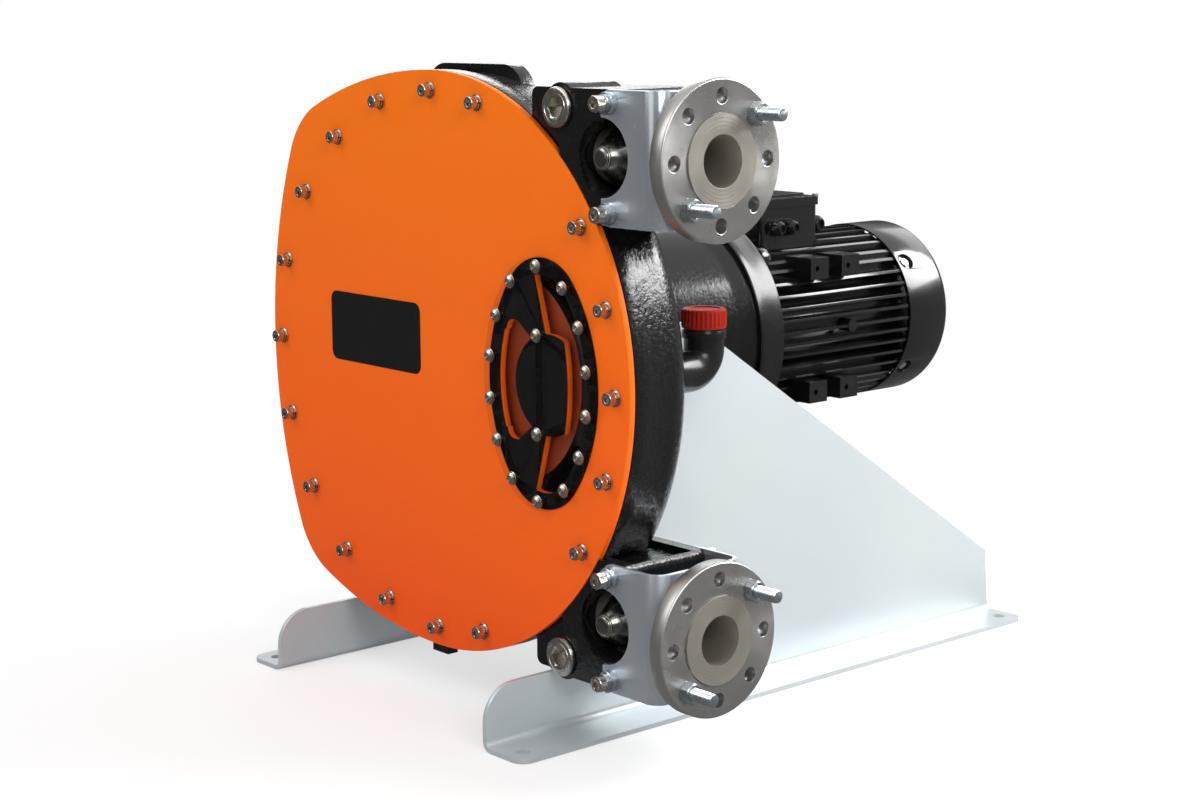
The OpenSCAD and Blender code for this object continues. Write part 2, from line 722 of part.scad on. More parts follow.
module frame_side() {
    y0 = foot_front_y - foot_end;
    y1 = y0 + foot_pitch_y + 2 * foot_end;
    round_r = 18;
    translate([0, cover_face_y, 0]) difference() {
        union() {
            side_slab(web_x - sheet_t, web_x) web_outline();
            intersection() {
                slab(y0, y1) foot_section();
                linear_extrude(40) {
                    round_rect(web_x - 60, y0, web_x + foot_w, y1, round_r);
                    translate([web_x - 60, y0]) square([74, y1 - y0]);
                }
            }
            translate([0, 0, axis_h]) slab(casing_d, casing_d + sheet_t)
                round_rect(web_x - back_flange_w, -228, web_x, 55, 5);
        }
        for (y = [foot_front_y, foot_front_y + foot_pitch_y])
            translate([foot_pitch_x / 2, y, -1]) cylinder(d = foot_hole_d, h = sheet_t + 2);
        translate([0, 0, axis_h]) at_frame_bolts() bar_y(6.5, casing_d - 1, casing_d + sheet_t + 1);
    }
}
module frame_right() color([0.7, 0.74, 0.76]) frame_side();
module frame_left() color([0.7, 0.74, 0.76]) mirror([1, 0, 0]) frame_side();
module frame_bolts() at_pump() color([0.7, 0.72, 0.73])
    at_frame_bolts() hex_screw(12, 8, casing_d - thread_len, casing_d + sheet_t);

// Bearing housing and gearbox
module bearing_housing() at_pump() color([0.05, 0.05, 0.05]) difference() {
    turned_y() polygon([[0, casing_d], [housing_flange_r, casing_d],
        [housing_flange_r, casing_d + housing_flange_t], [gearbox_r + 2, casing_d + housing_flange_t],
        [gearbox_r, casing_d + housing_flange_t + 22], [gearbox_r, joint_y], [0, joint_y]]);
    bar_y(bearing_ro, casing_d - 1, joint_y + 1);
    at_housing_bolts() bar_y(6.5, casing_d - 1, casing_d + housing_flange_t + 1);
}
module housing_bolts() at_pump() color([0.66, 0.68, 0.69])
    at_housing_bolts() hex_screw(12, 8, casing_d - thread_len, casing_d + housing_flange_t);
module gearbox() at_pump() color([0.05, 0.05, 0.05]) difference() {
    turned_y() polygon([[0, joint_y], [gearbox_r, joint_y], [gearbox_r, adaptor_y - 26],
        [gearbox_r + 10, adaptor_y], [0, adaptor_y]]);
    bar_y(shaft_r + running, joint_y - 1, joint_y + 70);
    bar_y(motor_shaft_r + running, adaptor_y - 30, adaptor_y + 1);
}
module motor_adaptor() at_pump() color([0.05, 0.05, 0.055]) difference() {
    turned_y() polygon([[80, adaptor_y], [adaptor_r - 1.5, adaptor_y], [adaptor_r, adaptor_y + 1.5],
        [adaptor_rear_r + 1.5, motor_y - 8], [adaptor_rear_r + 1.5, motor_y - 2],
        [adaptor_rear_r, motor_y], [80, motor_y]]);
    at_motor_corners(150) bar_y(5, motor_y - 30, motor_y + 1);
}
module adaptor_bolts() at_pump() color([0.1, 0.1, 0.1])
    at_motor_corners(150) hex_screw(10, 7, motor_y - 26, motor_y + 12);
module shaft_bearings() at_pump() color([0.7, 0.72, 0.74]) for (y = [casing_d + 14, joint_y - bearing_w - 8])
    turned_y() difference() {
        translate([shaft_r + running, y]) square([bearing_ro - shaft_r - 2 * running, bearing_w]);
        translate([(shaft_r + bearing_ro) / 2, y]) square([12, 8], center = true);
        translate([(shaft_r + bearing_ro) / 2, y + bearing_w]) square([12, 8], center = true);
    }
module shaft_seal() at_pump() color([0.12, 0.08, 0.06]) turned_y() difference() {
    translate([shaft_r + running, cavity_back + 1]) square([22 - 2 * running, 11]);
    translate([shaft_r + 11, cavity_back]) square([10, 8], center = true);
}

// Motor
module motor_front_shield() at_pump() color([0.05, 0.05, 0.055]) difference() {
    union() {
        turned_y() polygon([[motor_bearing_ro, motor_y], [130, motor_y], [shield_r, motor_y + 4],
            [shield_r, motor_y + 20], [core_r + 14, body_y], [motor_bearing_ro, body_y]]);
        at_motor_corners(150) bar_y(15, motor_y, motor_y + 12);
        at_motor_corners(136) translate([-14, motor_y, -15]) cube([28, 12, 30]);
    }
    at_motor_corners(150) bar_y(5.5, motor_y - 1, motor_y + 13);
}
// Fins stand on a round core, upright ones above and below and level ones at the sides
module fin_section() {
    pitch = 2 * fin_r * 0.66 / (fin_count - 1);
    difference() {
        union() {
            circle(core_r);
            intersection() {
                circle(fin_r, $fn = 96);
                union() for (i = [0 : fin_count - 1]) {
                    z = (i - (fin_count - 1) / 2) * pitch;
                    translate([-fin_r, z - fin_w / 2]) square([2 * fin_r, fin_w]);
                    translate([z - fin_w / 2, -fin_r]) square([fin_w, 2 * fin_r]);
                }
            }
        }
        circle(rotor_core_r + air_gap);
    }
}
module foot_pads() for (s = [-1, 1], t = [-1, 1], y = pad_y) difference() {
    translate([s > 0 ? 80 : -pad_x, y - 18, t * pad_z - 15]) cube([pad_x - 80, 36, 30]);
    translate([s * (pad_x - 20), y - 5, t * pad_z]) rotate([0, s * 90, 0]) cylinder(r = 4, h = 30);
}
module motor_body() at_pump() color([0.05, 0.05, 0.055]) difference() {
    union() {
        slab(body_y, body_end) fin_section();
        foot_pads();
        translate([-box_half + 6, box_y + 6, 60]) cube([2 * box_half - 12, box_len - 12, box_base - 60]);
        for (s = [-1, 1]) rotate([0, s > 0 ? 0 : 180, 0]) translate([0, body_y + 146, 0])
            bar_x(9, core_r - 6, fin_r + 1);
    }
    bar_y(rotor_core_r + air_gap, body_y - 1, body_end + 1);
    translate([-box_half - 1, box_y - 1, box_base]) cube([2 * box_half + 2, box_len + 2, 40]);
}
module motor_rear_shield() at_pump() color([0.05, 0.05, 0.055]) turned_y() polygon([
    [motor_bearing_ro, body_end], [rear_shield_r - 6, body_end], [rear_shield_r, body_end + 4],
    [rear_shield_r, body_end + 14],
    [60, body_end + 22], [motor_bearing_ro, body_end + 22]]);
module motor_bearings() at_pump() color([0.7, 0.72, 0.74]) for (y = [motor_y + 8, body_end + 2])
    turned_y() translate([motor_shaft_r + running, y])
        square([motor_bearing_ro - motor_shaft_r - 2 * running, 18]);

// Cowl with a spoked grille of ring slots in its rear wall
module cowl_section() difference() {
    union() {
        translate([0, cowl_y]) square([cowl_r, cowl_len - cowl_round]);
        translate([0, cowl_y]) square([cowl_r - cowl_round, cowl_len]);
        translate([cowl_r - cowl_round, cowl_end - cowl_round]) circle(cowl_round);
    }
    translate([-1, cowl_y - 1]) square([cowl_r - cowl_wall + 1, cowl_len - cowl_round + 1]);
    translate([-1, cowl_y - 1]) square([cowl_r - cowl_round + 1, cowl_len - cowl_wall + 1]);
    translate([cowl_r - cowl_round, cowl_end - cowl_round]) circle(cowl_round - cowl_wall);
    translate([-500, 0]) square([500, 1000]);
}
slot_w = 6.5;
module fan_cowl() at_pump() color([0.06, 0.06, 0.065]) difference() {
    union() {
        turned_y() cowl_section();
        at_cowl_screws() bar_x(dimple_r + 2, cowl_r - dimple_depth - 2, cowl_r - 1.2);
    }
    slab(cowl_end - cowl_wall - 1, cowl_end + 1) difference() {
        for (r = [34 : 11 : 112]) difference() {
            circle(r + slot_w);
            circle(r);
        }
        for (i = [0 : 7]) rotate(45 * i) translate([0, -4]) square([130, 8]);
    }
    at_cowl_screws() {
        bar_x(3.2, cowl_r - 20, cowl_r + 2);
        bar_x(dimple_r, cowl_r - dimple_depth, cowl_r + 9);
    }
}
dimple_r = 13;
dimple_depth = 5;
module at_cowl_screws() for (a = [38, 142, 218, 322]) translate([0, cowl_y + 18, 0]) rotate([0, -a, 0]) children();
module cowl_screws() at_pump() color([0.5, 0.5, 0.5]) at_cowl_screws() {
    bar_x(3, rear_shield_r + loose, cowl_r - dimple_depth);
    bar_x(6, cowl_r - dimple_depth, cowl_r - dimple_depth + 2.5);
}

// Terminal box
module terminal_box() at_pump() color([0.05, 0.05, 0.055]) translate([0, 0, box_base]) difference() {
    linear_extrude(box_top - box_base) round_rect(-box_half, box_y, box_half, box_y + box_len, 8);
    translate([0, 0, 5]) linear_extrude(80)
        round_rect(-box_half + 5, box_y + 5, box_half - 5, box_y + box_len - 5, 5);
    at_side_glands() bar_x(8, box_half - 6, box_half + 1);
    at_end_gland() bar_y(10, box_y + box_len - 6, box_y + box_len + 1);
}
module at_side_glands() for (y = [0.18, 0.42]) translate([0, box_y + y * box_len, fin_r - box_base + 14]) children();
module at_end_gland() translate([40, 0, fin_r - box_base + 12]) children();
module terminal_lid() at_pump() color([0.05, 0.05, 0.055]) translate([0, 0, box_top]) difference() {
    union() {
        linear_extrude(lid_t - 4) round_rect(-box_half - 3, box_y - 3, box_half + 3, box_y + box_len + 3, 10);
        linear_extrude(lid_t) round_rect(-box_half + 12, box_y + 12, box_half - 12, box_y + box_len - 12, 8);
    }
    at_lid_screws() translate([0, 0, -1]) cylinder(r = 2.8, h = lid_t);
    translate([0, 0, -1]) linear_extrude(8)
        round_rect(-box_half + 16, box_y + 16, box_half - 16, box_y + box_len - 16, 5);
}
module at_lid_screws() for (x = [-1, 1], y = [0, 1])
    translate([x * (box_half - 3), box_y + 3 + y * (box_len - 6), 0]) children();
module lid_screws() at_pump() color([0.6, 0.6, 0.6]) translate([0, 0, box_top + lid_t - 4]) at_lid_screws() {
    cylinder(r = 4.5, h = 3);
    translate([0, 0, -lid_t + 4]) cylinder(r = 2.5, h = lid_t - 4);
}
module cable_glands() at_pump() color([0.04, 0.04, 0.04]) translate([0, 0, box_base]) {
    at_side_glands() {
        bar_x(8 - hole_gap, box_half - 4, box_half);
        hex_x(22, box_half, box_half + 7);
        turned_x() polygon([[0, box_half + 7], [10.5, box_half + 7], [10.5, box_half + 16],
            [7, box_half + 22], [0, box_half + 22]]);
    }
    at_end_gland() translate([0, box_y + box_len, 0]) {
        bar_y(10 - hole_gap, -4, 0);
        hex_y(27, 0, 8);
        turned_y() polygon([[0, 8], [13, 8], [13, 17], [9, 23], [0, 23]]);
    }
}

// Oil filler
module filler_elbow() at_pump() color([0.04, 0.04, 0.045]) {
    r = elbow_d / 2;
    bend = r + 3;
    difference() {
        union() {
            translate([filler_x, 0, elbow_z]) bar_y(r, casing_d, elbow_y - bend);
            translate([filler_x, 0, elbow_z]) bar_y(r + 3, casing_d, casing_d + 12);
            translate([filler_x, elbow_y - bend, elbow_z + bend]) rotate([0, 90, 0]) rotate([0, 0, 0])
                rotate_extrude(angle = 90) translate([bend, 0]) circle(r);
            translate([filler_x, elbow_y, elbow_z + bend]) cylinder(r = r, h = elbow_top - elbow_z - bend);
            translate([filler_x, elbow_y, elbow_top - 12]) cylinder(r = r + 2.5, h = 9);
        }
        translate([filler_x, 0, elbow_z]) bar_y(r - elbow_wall, casing_d - 1, elbow_y - bend);
        translate([filler_x, elbow_y - bend, elbow_z + bend]) rotate([0, 90, 0])
            rotate_extrude(angle = 90) translate([bend, 0]) circle(r - elbow_wall);
        translate([filler_x, elbow_y, elbow_z + bend]) cylinder(r = r - elbow_wall, h = 90);
    }
}
module filler_cap() at_pump() color([0.8, 0.2, 0.08]) translate([filler_x, elbow_y, elbow_top + loose])
    difference() {
        union() {
            cylinder(r = cap_d / 2 - 1.2, h = cap_h - 2);
            cylinder(r = cap_d / 2 - 3, h = cap_h);
            for (i = [0 : 23]) rotate(15 * i) translate([cap_d / 2 - 2.6, -1.5, 0]) cube([2.6, 3, cap_h - 2.5]);
        }
        translate([0, 0, -1]) cylinder(r = elbow_d / 2 - elbow_wall, h = 8);
    }

// Rotor
module drive_shaft() at_pump() color([0.6, 0.6, 0.62]) difference() {
    union() {
        bar_y(shaft_r, shaft_front, joint_y + 66);
    }
    translate([-key_w / 2, wheel_y - 10, shaft_r - key_h / 2]) cube([key_w, wheel_t + 16, key_h]);
    bar_y(8, shaft_front - 1, shaft_front + 30);
}
module rotor_key() at_pump() color([0.5, 0.5, 0.5])
    translate([-key_w / 2 + hole_gap, wheel_y, shaft_r - key_h / 2 + hole_gap])
        cube([key_w - 2 * hole_gap, wheel_t, key_h - hole_gap]);
module rotor_wheel() at_pump() color([0.62, 0.16, 0.07]) difference() {
    union() {
        slab(wheel_y, wheel_y + wheel_t) difference() {
            circle(wheel_r, $fn = 128);
            for (a = [50, 90, 130, 230, 270, 310]) rotate(a) translate([0.66 * wheel_r, 0]) circle(26);
            for (s = [-1, 1]) translate([s * (seat_x + 20), 0]) square([40, 150], center = true);
        }
        bar_y(hub_r, lobe_y + 1, wheel_y + wheel_t + 8);
        // lobed front plate, with a land under it that carries it on the wheel
        slab(lobe_y, lobe_y + lobe_t) for (s = [-1, 1]) translate([s * lobe_x, 0]) circle(lobe_r, $fn = 128);
        slab(lobe_y + 1, wheel_y + 1) square([2 * seat_x - 30, 120], center = true);
    }
    bar_y(rotor_cap_r + 6, lobe_y - 1, shaft_front);
    for (s = [-1, 1], t = [-1, 1]) translate([s * lobe_screw[0], 0, t * lobe_screw[1]])
        bar_y(4, lobe_y - 1, lobe_y + lobe_t + 1);
    bar_y(shaft_r + running, shaft_front - 1, wheel_y + wheel_t + 9);
    translate([-key_w / 2, wheel_y - 7, 0]) cube([key_w, wheel_t + 16, shaft_r + key_h / 2 + 1]);
    for (s = [-1, 1], z = [-50, 50], y = [-12, 12]) translate([s * (seat_x - 50), port_y + y, z])
        rotate([0, s * 90, 0]) cylinder(r = 5, h = 60);
}
// Shoe: a crescent whose nose squeezes the hose, on a flat seat of the wheel
module press_shoe() {
    seat = seat_x + loose;
    difference() {
        slab(port_y - shoe_w / 2, port_y + shoe_w / 2) intersection() {
            translate([shoe_centre, 0]) circle(shoe_curve_r, $fn = 128);
            translate([seat, -74]) square([120, 148]);
        }
        for (z = [-50, 50], y = [-12, 12]) translate([seat - 1, port_y + y, z]) {
            rotate([0, 90, 0]) cylinder(r = 5.5, h = 120);
            translate([22, 0, 0]) rotate([0, 90, 0]) cylinder(r = 9, h = 100);
        }
        for (t = [-1, 1]) translate([lobe_screw[0], 0, t * lobe_screw[1]])
            bar_y(4, port_y - shoe_w / 2 - 1, port_y - shoe_w / 2 + 16);
    }
}
module press_shoe_right() at_pump() color([0.66, 0.66, 0.66]) press_shoe();
module press_shoe_left() at_pump() color([0.66, 0.66, 0.66]) mirror([1, 0, 0]) press_shoe();
module shoe_screws() at_pump() color([0.6, 0.6, 0.6]) for (m = [0, 1]) mirror([m, 0, 0])
    for (z = [-50, 50], y = [-12, 12]) translate([seat_x + loose, port_y + y, z]) {
        bar_x(5 - hole_gap, -32, 21);
        difference() {
            bar_x(8, 21, 31);
            hex_x(8, 26, 32);
        }
    }
// Screws that hold the shoes to the lobed plate
module lobe_screws() at_pump() color([0.6, 0.6, 0.6])
    for (s = [-1, 1], t = [-1, 1]) translate([s * lobe_screw[0], 0, t * lobe_screw[1]]) {
        bar_y(7, lobe_y - 3.5, lobe_y);
        hex_y(11, lobe_y - 4.5, lobe_y - 3.4);
        bar_y(4 - hole_gap, lobe_y - 0.1, lobe_y + lobe_t + 14);
    }
module rotor_cap() at_pump() color([0.03, 0.03, 0.03]) difference() {
    union() {
        bar_y(rotor_cap_r, shaft_front - 8, shaft_front);
        bar_y(rotor_cap_r - 6, shaft_front - 8.5, shaft_front);
    }
    bar_y(8.5, shaft_front - 9, shaft_front + 1);
}
module rotor_cap_screw() at_pump() color([0.6, 0.6, 0.6])
    socket_screw(16, 3, shaft_front - 8.5, shaft_front + 28);

module motor_shaft() at_pump() color([0.6, 0.6, 0.62]) bar_y(motor_shaft_r, adaptor_y - 26, cowl_end - 34);
module motor_core() at_pump() color([0.45, 0.45, 0.47]) difference() {
    bar_y(rotor_core_r, body_y + 40, body_end - 40);
    bar_y(motor_shaft_r + running, body_y + 39, body_end - 39);
}
module cooling_fan() at_pump() color([0.08, 0.08, 0.08]) difference() {
    union() {
        bar_y(28, body_end + 26, cowl_end - 30);
        bar_y(104, body_end + 26, body_end + 29);
        for (i = [0 : 8]) rotate([0, 40 * i, 0]) translate([20, body_end + 28, -1.5]) cube([82, 22, 3]);
    }
    bar_y(motor_shaft_r + running, body_end + 20, cowl_end);
}

casing();
cover_gasket();
cover_plate();
cover_screws();
cover_washers();
window_gasket();
window_pane();
window_screws();
label_plate();
pump_hose();
hose_seals();
hose_insert_top();
hose_insert_bottom();
port_flange_top();
port_flange_bottom();
port_bracket_top();
port_bracket_bottom();
bracket_screws();
bracket_spacers();
port_plug_top();
port_plug_bottom();
plug_seals();
flange_studs();
stud_nuts();
frame_left();
frame_right();
frame_bolts();
bearing_housing();
housing_bolts();
gearbox();
motor_adaptor();
adaptor_bolts();
shaft_bearings();
shaft_seal();
motor_front_shield();
motor_body();
motor_rear_shield();
motor_bearings();
fan_cowl();
cowl_screws();
terminal_box();
terminal_lid();
lid_screws();
cable_glands();
filler_elbow();
drive_shaft();
rotor_key();
rotor_wheel();
press_shoe_left();
press_shoe_right();
shoe_screws();
lobe_screws();
rotor_cap();
rotor_cap_screw();
motor_shaft();
motor_core();
cooling_fan();
filler_cap();
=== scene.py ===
"""Peristaltic hose pump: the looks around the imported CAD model.

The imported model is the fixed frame. Each sub-assembly below is a class: its sizes are dataclass
fields in metres, dress() gives the CAD nodes their finishes, and build() makes the finer pieces
that stand for some of them. The pump's own axes are X = 0 and Z = AXIS_H on the drive axis, and
y = 0 on the front face of the cover, with +y running back to the motor.
"""

from __future__ import annotations

import logging
import math
from dataclasses import dataclass, field
from enum import Enum
from typing import Sequence

import bmesh
import bpy
from mathutils import Matrix, Vector


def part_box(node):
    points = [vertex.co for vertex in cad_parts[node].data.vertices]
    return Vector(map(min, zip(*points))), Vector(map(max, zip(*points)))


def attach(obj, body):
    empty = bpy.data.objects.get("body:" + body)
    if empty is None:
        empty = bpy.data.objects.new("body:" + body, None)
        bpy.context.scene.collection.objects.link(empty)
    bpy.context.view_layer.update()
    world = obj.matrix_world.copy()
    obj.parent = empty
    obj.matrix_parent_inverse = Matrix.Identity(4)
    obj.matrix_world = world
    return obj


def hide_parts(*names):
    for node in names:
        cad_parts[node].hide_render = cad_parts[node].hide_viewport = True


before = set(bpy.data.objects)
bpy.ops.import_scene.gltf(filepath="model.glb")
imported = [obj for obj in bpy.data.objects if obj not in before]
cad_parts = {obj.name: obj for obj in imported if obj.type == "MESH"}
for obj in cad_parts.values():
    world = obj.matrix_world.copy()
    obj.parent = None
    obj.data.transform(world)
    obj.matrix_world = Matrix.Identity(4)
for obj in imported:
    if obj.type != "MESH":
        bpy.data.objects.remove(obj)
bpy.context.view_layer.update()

logging.basicConfig(level=logging.INFO, format="%(levelname)s %(name)s: %(message)s")
LOG = logging.getLogger("hose_pump")

# Places in the frame, in metres: the cover's face, the drive axis and the ports' axes
COVER_Y = -0.369
AXIS_H = 0.435
PORT_Y = COVER_Y + 0.056
PORT_H = 0.276
SIDES = ("top", "bottom")

# A radius that any hexagon cuts, and the reach of a hexagon's corners from half its width
BEYOND = 1.0
CORNERS = 1.2

# Corners closer than this are one corner, and edges sharper than this get a bevel of so many steps
WELD_GAP = 2e-6
SHARP_DEG = 32.0
BEVEL_STEPS = 2

Point = tuple[float, float, float]
Colour = tuple[float, float, float]
Socket = bpy.types.NodeSocket


class Axis(Enum):
    """Which way a turned piece lies; the value turns its +Z that way."""

    BACK = Matrix.Rotation(math.radians(-90), 4, "X")
    FRONT = Matrix.Rotation(math.radians(90), 4, "X")
    RIGHT = Matrix.Rotation(math.radians(90), 4, "Y")
    UP = Matrix.Identity(4)


class Slot(Enum):
    """Material slot names for the pieces that are made here; MeshKit.finish takes one but doesn't use it."""

    STAINLESS = "stainless"
    PLATED = "plated_steel"
    PLASTIC = "black_plastic"
    RED = "red_plastic"


# Sockets of the map-range node, and of the mix node when it mixes colours
RANGE_ENDS = ("From Min", "From Max", "To Min", "To Max")
MIX_SOCKETS = (0, 6, 7)


class Wiring:
    """Adds and joins the shader nodes of one tree."""

    def __init__(self, tree: bpy.types.NodeTree, coords: str) -> None:
        """Empties the tree.

        Args:
            tree: the node tree of a material or of the world.
            coords: the texture coordinate that its patterns follow.
        """
        self.tree = tree
        self.tree.nodes.clear()
        self.coords = self.node("TexCoord").outputs[coords]

    def node(self, kind: str, **settings: str) -> bpy.types.Node:
        """Adds a shader node with its settings."""
        made = self.tree.nodes.new(f"ShaderNode{kind}")
        for key, value in settings.items():
            setattr(made, key, value)
        return made

    def link(self, source: Socket, target: Socket) -> None:
        """Joins two sockets."""
        self.tree.links.new(source, target)

    def put(self, node: bpy.types.Node, socket: str | int, value: Socket | float | Colour) -> None:
        """Sets a socket to a constant, or links it when the value is a socket."""
        if isinstance(value, bpy.types.NodeSocket):
            self.link(value, node.inputs[socket])
        elif isinstance(value, tuple) and len(value) == 3 and node.inputs[socket].type == "RGBA":
            node.inputs[socket].default_value = (*value, 1.0)
        else:
            node.inputs[socket].default_value = value

    def math(self, operation: str, a: Socket | float, b: Socket | float = 0.0) -> Socket:
        """One arithmetic step."""
        node = self.node("Math", operation=operation)
        self.put(node, 0, a)
        self.put(node, 1, b)
        return node.outputs[0]

    def remap(
        self, value: Socket, low: float, high: float, to_low: float, to_high: float, kind: str = "LINEAR"
    ) -> Socket:
        """Maps one range to another, held at its ends."""
        node = self.node("MapRange", interpolation_type=kind)
        self.put(node, "Value", value)
        for key, number in zip(RANGE_ENDS, (low, high, to_low, to_high)):
            node.inputs[key].default_value = number
        return node.outputs[0]

    def split(self, vector: Socket) -> Sequence[Socket]:
        """The X, Y and Z of a vector."""
        node = self.node("SeparateXYZ")
        self.link(vector, node.inputs[0])
        return node.outputs

    def length(self, vector: Socket) -> Socket:
        """The length of a vector."""
        node = self.node("VectorMath", operation="LENGTH")
        self.link(vector, node.inputs[0])
        return node.outputs["Value"]

    def mix(self, fac: Socket, first: Socket, second: Socket) -> Socket:
        """Two shaders mixed by a factor."""
        node = self.node("MixShader")
        for target, source in zip(node.inputs, (fac, first, second)):
            self.link(source, target)
        return node.outputs[0]


class Recipe(Wiring):
    """Wires one Principled material."""

    def __init__(self, name: str) -> None:
        """Starts an empty material.

        Args:
            name: the material's name.
        """
        self.material = bpy.data.materials.new(name)
        self.material.use_nodes = True
        super().__init__(self.material.node_tree, "Object")
        self.shader = self.node("BsdfPrincipled")
        self.out = self.node("OutputMaterial")
        self.link(self.shader.outputs[0], self.out.inputs[0])

    def set(self, **values: Socket | float | Colour) -> None:
        """Sets sockets of the shader; underscores stand for spaces."""
        for key, value in values.items():
            self.put(self.shader, key.replace("_", " "), value)

    def scaled(self, scale: Point) -> Socket:
        """The object coordinates stretched by a factor along each axis."""
        node = self.node("Mapping")
        node.inputs["Scale"].default_value = scale
        self.link(self.coords, node.inputs["Vector"])
        return node.outputs[0]

    def noise(
        self, scale: float, detail: float = 3.0, rough: float = 0.5, vector: Socket | None = None
    ) -> Socket:
        """Fractal noise, from 0 to 1."""
        node = self.node("TexNoise")
        for key, value in (("Scale", scale), ("Detail", detail), ("Roughness", rough)):
            node.inputs[key].default_value = value
        self.link(vector or self.coords, node.inputs["Vector"])
        return node.outputs["Fac"]

    def cells(self, scale: float) -> Socket:
        """Voronoi cells: the distance to the nearest centre."""
        node = self.node("TexVoronoi")
        node.inputs["Scale"].default_value = scale
        self.link(self.coords, node.inputs["Vector"])
        return node.outputs["Distance"]

    def layer(self, fac: Socket, low: Socket | Colour, high: Socket | Colour) -> Socket:
        """A colour between two sockets or colours, by a factor."""
        node = self.node("Mix", data_type="RGBA")
        for socket, value in zip(MIX_SOCKETS, (fac, low, high)):
            self.put(node, socket, value)
        return node.outputs[2]

    def mottle(self, fac: Socket, colour: Colour, dark: float, light: float) -> Socket:
        """A colour in darker and lighter patches."""
        return self.layer(fac, shade(colour, dark), shade(colour, light))

    def bump(self, height: Socket, strength: float, depth: float, under: Socket | None = None) -> Socket:
        """A bump of the given depth in metres, on top of another one."""
        node = self.node("Bump")
        node.inputs["Strength"].default_value = strength
        node.inputs["Distance"].default_value = depth
        self.link(height, node.inputs["Height"])
        if under is not None:
            self.link(under, node.inputs["Normal"])
        return node.outputs[0]

    def edge_wear(self, low: float, high: float) -> Socket:
        """1 on sharp outer edges, 0 elsewhere."""
        return self.remap(self.node("NewGeometry").outputs["Pointiness"], low, high, 0.0, 1.0)

    def rings(self, centre: Point, axis: int, pitch: float) -> Socket:
        """Fine turning marks about an axis: waves of the given pitch, from 0 to 1."""
        node = self.node("Mapping")
        away = tuple(0.0 if i == axis else -c for i, c in enumerate(centre))
        node.inputs["Location"].default_value = away
        node.inputs["Scale"].default_value = tuple(0.0 if i == axis else 1.0 for i in range(3))
        self.link(self.coords, node.inputs["Vector"])
        wave = self.math("SINE", self.math("MULTIPLY", self.length(node.outputs[0]), 2 * math.pi / pitch))
        return self.remap(wave, -1.0, 1.0, 0.0, 1.0)


# How rough the clear coat over gloss paint is
COAT_ROUGH = 0.08

# Finished materials by name, so that pieces with the same finish share one
MADE: dict[str, bpy.types.Material] = {}


@dataclass(frozen=True)
class Finish:
    """A surface finish. Subclasses wire its recipe."""

    name: str
    colour: Colour

    def wire(self, look: Recipe) -> None:
        """Wires the material."""
        raise NotImplementedError

    def material(self) -> bpy.types.Material:
        """The finish's material, made once."""
        if self.name not in MADE:
            look = Recipe(self.name)
            self.wire(look)
            MADE[self.name] = look.material
            LOG.info("material %s", self.name)
        return MADE[self.name]


def new_object(name: str, data: bpy.types.ID) -> bpy.types.Object:
    """Makes an object and links it to the scene."""
    obj = bpy.data.objects.new(name, data)
    bpy.context.scene.collection.objects.link(obj)
    return obj


def shade(colour: Colour, factor: float) -> Colour:
    """The colour made lighter or darker."""
    return tuple(min(1.0, c * factor) for c in colour)


def tinged(colour: Colour, factors: Colour) -> Colour:
    """The colour with each channel scaled by its own factor."""
    return tuple(c * f for c, f in zip(colour, factors))


@dataclass(frozen=True)
class CastPaint(Finish):
    """Thick gloss paint over a rough casting: a pebbled skin that breaks reflections into glints."""

    grain: float = 150.0
    depth: float = 0.0012
    rough: float = 0.17
    coat: float = 0.12

    def wire(self, look: Recipe) -> None:
        """Wires the material."""
        lumps = look.noise(self.grain, 3.0, 0.55)
        swells = look.noise(self.grain * 0.34, 2.0, 0.5)
        pits = look.cells(self.grain * 2.3)
        patches = look.noise(9.0, 3.0)
        dust = look.noise(44.0, 5.0, 0.7)
        base = look.mottle(patches, self.colour, 0.7, 1.3)
        base = look.layer(look.remap(dust, 0.6, 0.82, 0.0, 0.16), base, shade(self.colour, 4.0))
        look.set(
            Base_Color=base,
            Roughness=look.remap(lumps, 0.35, 0.7, self.rough, self.rough + 0.14),
            Coat_Weight=self.coat,
            Coat_Roughness=COAT_ROUGH,
            Specular_IOR_Level=0.42,
        )
        fine = look.bump(pits, 0.25, self.depth * 0.25)
        broad = look.bump(swells, 0.4, self.depth * 1.6, fine)
        look.set(Normal=look.bump(lumps, 0.8, self.depth, broad))


@dataclass(frozen=True)
class GlossPaint(Finish):
    """Smooth sprayed paint with a slight orange peel."""

    rough: float = 0.3
    peel: float = 0.00012
    coat: float = 0.25
    gloss: float = 0.5

    def wire(self, look: Recipe) -> None:
        """Wires the material."""
        patches = look.noise(5.0, 2.0)
        peel = look.noise(420.0, 2.0)
        smudge = look.noise(14.0, 4.0, 0.6)
        base = look.mottle(patches, self.colour, 0.93, 1.06)
        worn = look.edge_wear(0.54, 0.62)
        scuffs = look.math("MULTIPLY", worn, look.remap(smudge, 0.5, 0.7, 0.0, 0.35))
        base = look.layer(scuffs, base, shade(self.colour, 2.2))
        look.set(
            Base_Color=base,
            Roughness=look.remap(smudge, 0.3, 0.75, self.rough - 0.04, self.rough + 0.08),
            Coat_Weight=self.coat,
            Coat_Roughness=COAT_ROUGH,
            Specular_IOR_Level=self.gloss,
            Normal=look.bump(peel, 0.35, self.peel),
        )


